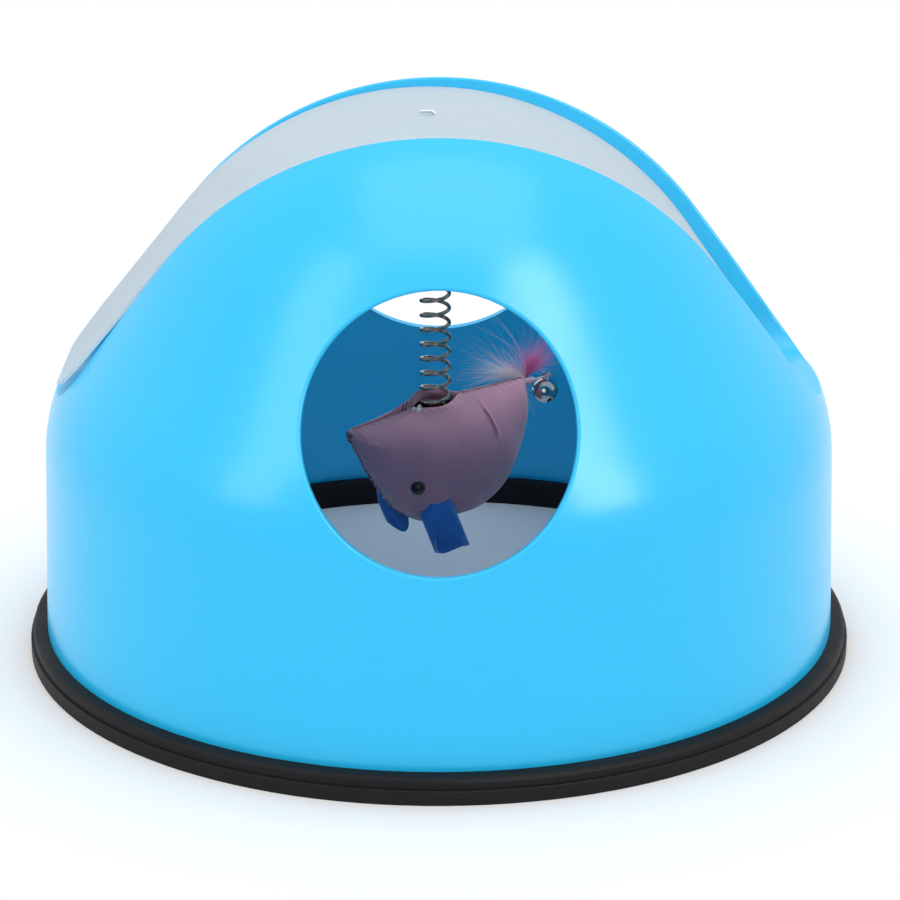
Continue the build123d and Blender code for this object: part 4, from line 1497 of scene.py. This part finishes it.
@dataclass
class DownTuft:
    """Tuft of loose marabou down that is bound to the tail."""

    axes: MouseAxes
    name: str
    node: str
    slot: Slot
    finish: Finish
    sprays: tuple[Spray, ...]
    bell: BellRoom
    seed: int
    steps: int = 11
    shortest: float = 0.35
    root_half: float = 0.7
    bends: Pair = (0.4, 1.6)
    curl: float = 2.0
    waves: float = 0.55 * MM
    wave_turn: float = 8.0
    flare: float = 0.6
    taper: float = 0.75

    def build(self) -> None:
        """Grows the barbs."""
        chance = random.Random(self.seed)
        half = self.root_half
        parts = MeshParts()
        for spray in self.sprays:
            reach = self.axes.turn(spray.reach) * MM
            bend = self.axes.turn(spray.bend) * MM
            root = self.axes.place([value * MM for value in spray.root])
            for _ in range(spray.count):
                spray_off = Vector([chance.gauss(0, spray.spread) for _ in range(3)]) * reach.length
                size = self.shortest + (1 - self.shortest) * chance.random() ** 0.7
                start = root + Vector([chance.uniform(-half, half) * MM for _ in range(3)])
                curl = bend * chance.uniform(*self.bends)
                curl += Vector([chance.gauss(0, self.curl) * MM for _ in range(3)])
                sway = Vector([chance.gauss(0, self.waves) for _ in range(3)])
                phase = chance.uniform(0, 2 * math.pi)
                path = []
                for index in range(self.steps):
                    t = index / (self.steps - 1)
                    line = (reach + spray_off * t**self.flare) * (size * t) + curl * (size * t * t)
                    path.append(start + line + sway * (t * math.sin(phase + self.wave_turn * t)))
                if self.bell.clears(path):
                    parts.tube(path, lambda t, r=spray.radius: r * (1 - self.taper * t), 3)
        settle(parts.build(self.name, self.finish), Body.MOUSE, self.slot, self.node)


@dataclass
class TailEnd:
    """Thread wound round the tail's end and the strands that carry the bell."""

    axes: MouseAxes
    bell_hinge: Vector
    start: float = 29.2 * MM
    length: float = 4.6 * MM
    depth: float = 1.6 * MM
    core: float = 0.95 * MM
    thread: float = 0.24 * MM
    turns: int = 7
    turn_steps: int = 20
    strand: float = 0.2 * MM
    strand_count: int = 3
    knot: float = 0.5 * MM
    beyond: float = 1.4 * MM
    seed: int = 3

    def build(self) -> None:
        """Winds the binding and strings the bell."""
        chance = random.Random(self.seed)
        binding = MeshParts()
        shares = (0.0, 0.3, 0.7, 0.95, 1.04)
        stub = [self.axes.place((self.start + self.length * t, 0, -self.depth)) for t in shares]
        binding.tube(stub, lambda t: self.core * (1.05 - 0.3 * t**3), 18)
        path = []
        steps = self.turns * self.turn_steps
        for index in range(steps + 1):
            turn = 2 * math.pi * index / self.turn_steps
            share = index / steps
            radius = self.core * (1.08 - 0.22 * share**3) + 0.07 * MM * math.sin(0.37 * turn)
            x = self.start + self.length * (0.12 + 0.8 * share) + 0.18 * MM * math.sin(0.83 * turn)
            path.append(self.axes.place((x, radius * math.cos(turn), -self.depth + radius * math.sin(turn))))
        binding.tube(path, self.thread, 7)
        settle(binding.build("tail_winding", PALE_THREAD), Body.MOUSE, Slot.THREAD, "tail_binding")
        strands = MeshParts()
        end = self.axes.place((self.start + 0.9 * self.length, 0, -self.depth))
        beyond = self.bell_hinge + self.axes.along * self.beyond
        for index in range(self.strand_count):
            shift = self.axes.across * (0.3 * MM * (index - 1)) + self.axes.up * (0.2 * MM * (index % 2))
            sway = Vector([chance.uniform(-0.25, 0.25) * MM for _ in range(3)])
            bend = end.lerp(beyond, 0.4) + shift + sway
            strands.tube(bezier(end + shift, bend, beyond + shift * 0.5, beyond, 12), self.strand, 6)
        knot = []
        for index in range(40):
            turn = 2 * math.pi * index / 13
            wide, tall = math.cos(turn) * (1 + 0.4 * math.cos(1.5 * turn)), math.sin(turn)
            across = self.axes.across * (self.knot * wide) + self.axes.up * (self.knot * tall)
            knot.append(beyond + across + self.axes.along * (0.5 * self.knot * math.sin(1.5 * turn)))
        strands.tube(knot, self.strand, 6)
        settle(strands.build("bell_strands", PALE_THREAD), Body.MOUSE, Slot.THREAD, "bell_thread")


def ears(axes: MouseAxes) -> list[FeltEar]:
    """The two ears: the near one hangs open and the far one is rounded at its tip.

    Args:
        axes: the mouse's frame.

    Returns:
        The near and the far ear.
    """
    near = FeltEar(
        axes,
        "near_felt_ear",
        "near_ear",
        root=(-9.6 * MM, -8.6 * MM, -24.4 * MM),
        tip=(-6.0 * MM, -11.4 * MM, -44.0 * MM),
        front=(-0.15, -1.0, 0.0),
    )
    far = FeltEar(
        axes,
        "far_felt_ear",
        "far_ear",
        root=(-17.6 * MM, 6.4 * MM, -26.4 * MM),
        tip=(-14.2 * MM, 8.2 * MM, -40.2 * MM),
        front=(-0.1, 1.0, 0.1),
        width=6.2 * MM,
        thickness=4.0 * MM,
        tip_round=0.3,
        front_cut=0.1,
        fold_round=0.0,
        root_share=0.8,
        root_lean=0.0,
    )
    return [near, far]


def tufts(axes: MouseAxes, bell: BellRoom) -> list[DownTuft]:
    """The white and the pink down at the tail, clear of the bell.

    Args:
        axes: the mouse's frame.
        bell: the room that the bell sweeps.

    Returns:
        The white and the pink tuft.
    """
    white = DownTuft(
        axes,
        "white_down",
        "white_feather",
        Slot.WHITE,
        WHITE_DOWN,
        (
            Spray((30.6, 0.6, -0.2), (-16.5, 2.5, 9.5), 0.2, 300, (-2.0, 0.5, -3.0), 0.026 * MM),
            Spray((30.6, 0.8, 0.0), (-12.0, 2.5, 10.0), 0.3, 170, (-1.0, 0.5, 1.0), 0.026 * MM),
            Spray((31.0, 0.5, 0.2), (5.0, 3.0, 21.0), 0.05, 9, (-13.0, 1.0, 2.0), 0.045 * MM),
            Spray((31.0, 0.8, 0.2), (-3.0, 5.0, 15.0), 0.2, 24, (-3.0, 1.0, -1.0), 0.03 * MM),
        ),
        bell,
        seed=11,
    )
    pink = DownTuft(
        axes,
        "pink_down",
        "pink_feather",
        Slot.PINK,
        PINK_DOWN,
        (
            Spray((32.0, 1.2, 0.2), (9.5, 2.5, 6.0), 0.32, 560, (1.0, 0.5, 0.0), 0.034 * MM),
            Spray((32.0, 1.2, 0.2), (4.0, 2.5, 9.0), 0.34, 300, (0.5, 0.5, 0.5), 0.03 * MM),
            Spray((31.2, 3.4, -1.2), (3.0, 10.0, -12.0), 0.2, 190, (0.5, 2.0, -4.0), 0.028 * MM),
            Spray((31.0, 1.0, 0.0), (-5.0, 3.0, 4.0), 0.3, 150, (0.0, 0.5, 1.0), 0.03 * MM),
        ),
        bell,
        seed=23,
    )
    return [white, pink]


def main() -> None:
    """Loads the frame and builds the toy's looks round it."""
    logging.basicConfig(level=logging.INFO, format="%(name)s: %(message)s")
    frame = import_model()
    nodes = frame["nodes"]
    joints = {joint["name"]: joint for joint in frame["joints"]}
    Studio().build()
    Dome(nodes).build()
    hinge = Vector(joints["mouse_swing"]["pos_m"])
    Hanger(nodes, hinge).build()
    along = Vector(joints["bell_swing"]["axis"])
    across = Vector((0, 0, 1)).cross(along).normalized()
    origin = Vector((hinge.x, 0, hinge.z - MOUSE_HANG))
    axes = MouseAxes(origin, along, across, along.cross(across))
    PlushMouse(axes).build()
    for ear in ears(axes):
        ear.build()
    dress(nodes, EYE_BEAD, Slot.BEAD, "near_eye", "far_eye")
    bell = JingleBell(nodes, Vector(joints["bell_swing"]["pos_m"]), along)
    TailEnd(axes, bell.hinge).build()
    for tuft in tufts(axes, bell.room()):
        tuft.build()
    bell.build()


if __name__ == "__main__":
    main()
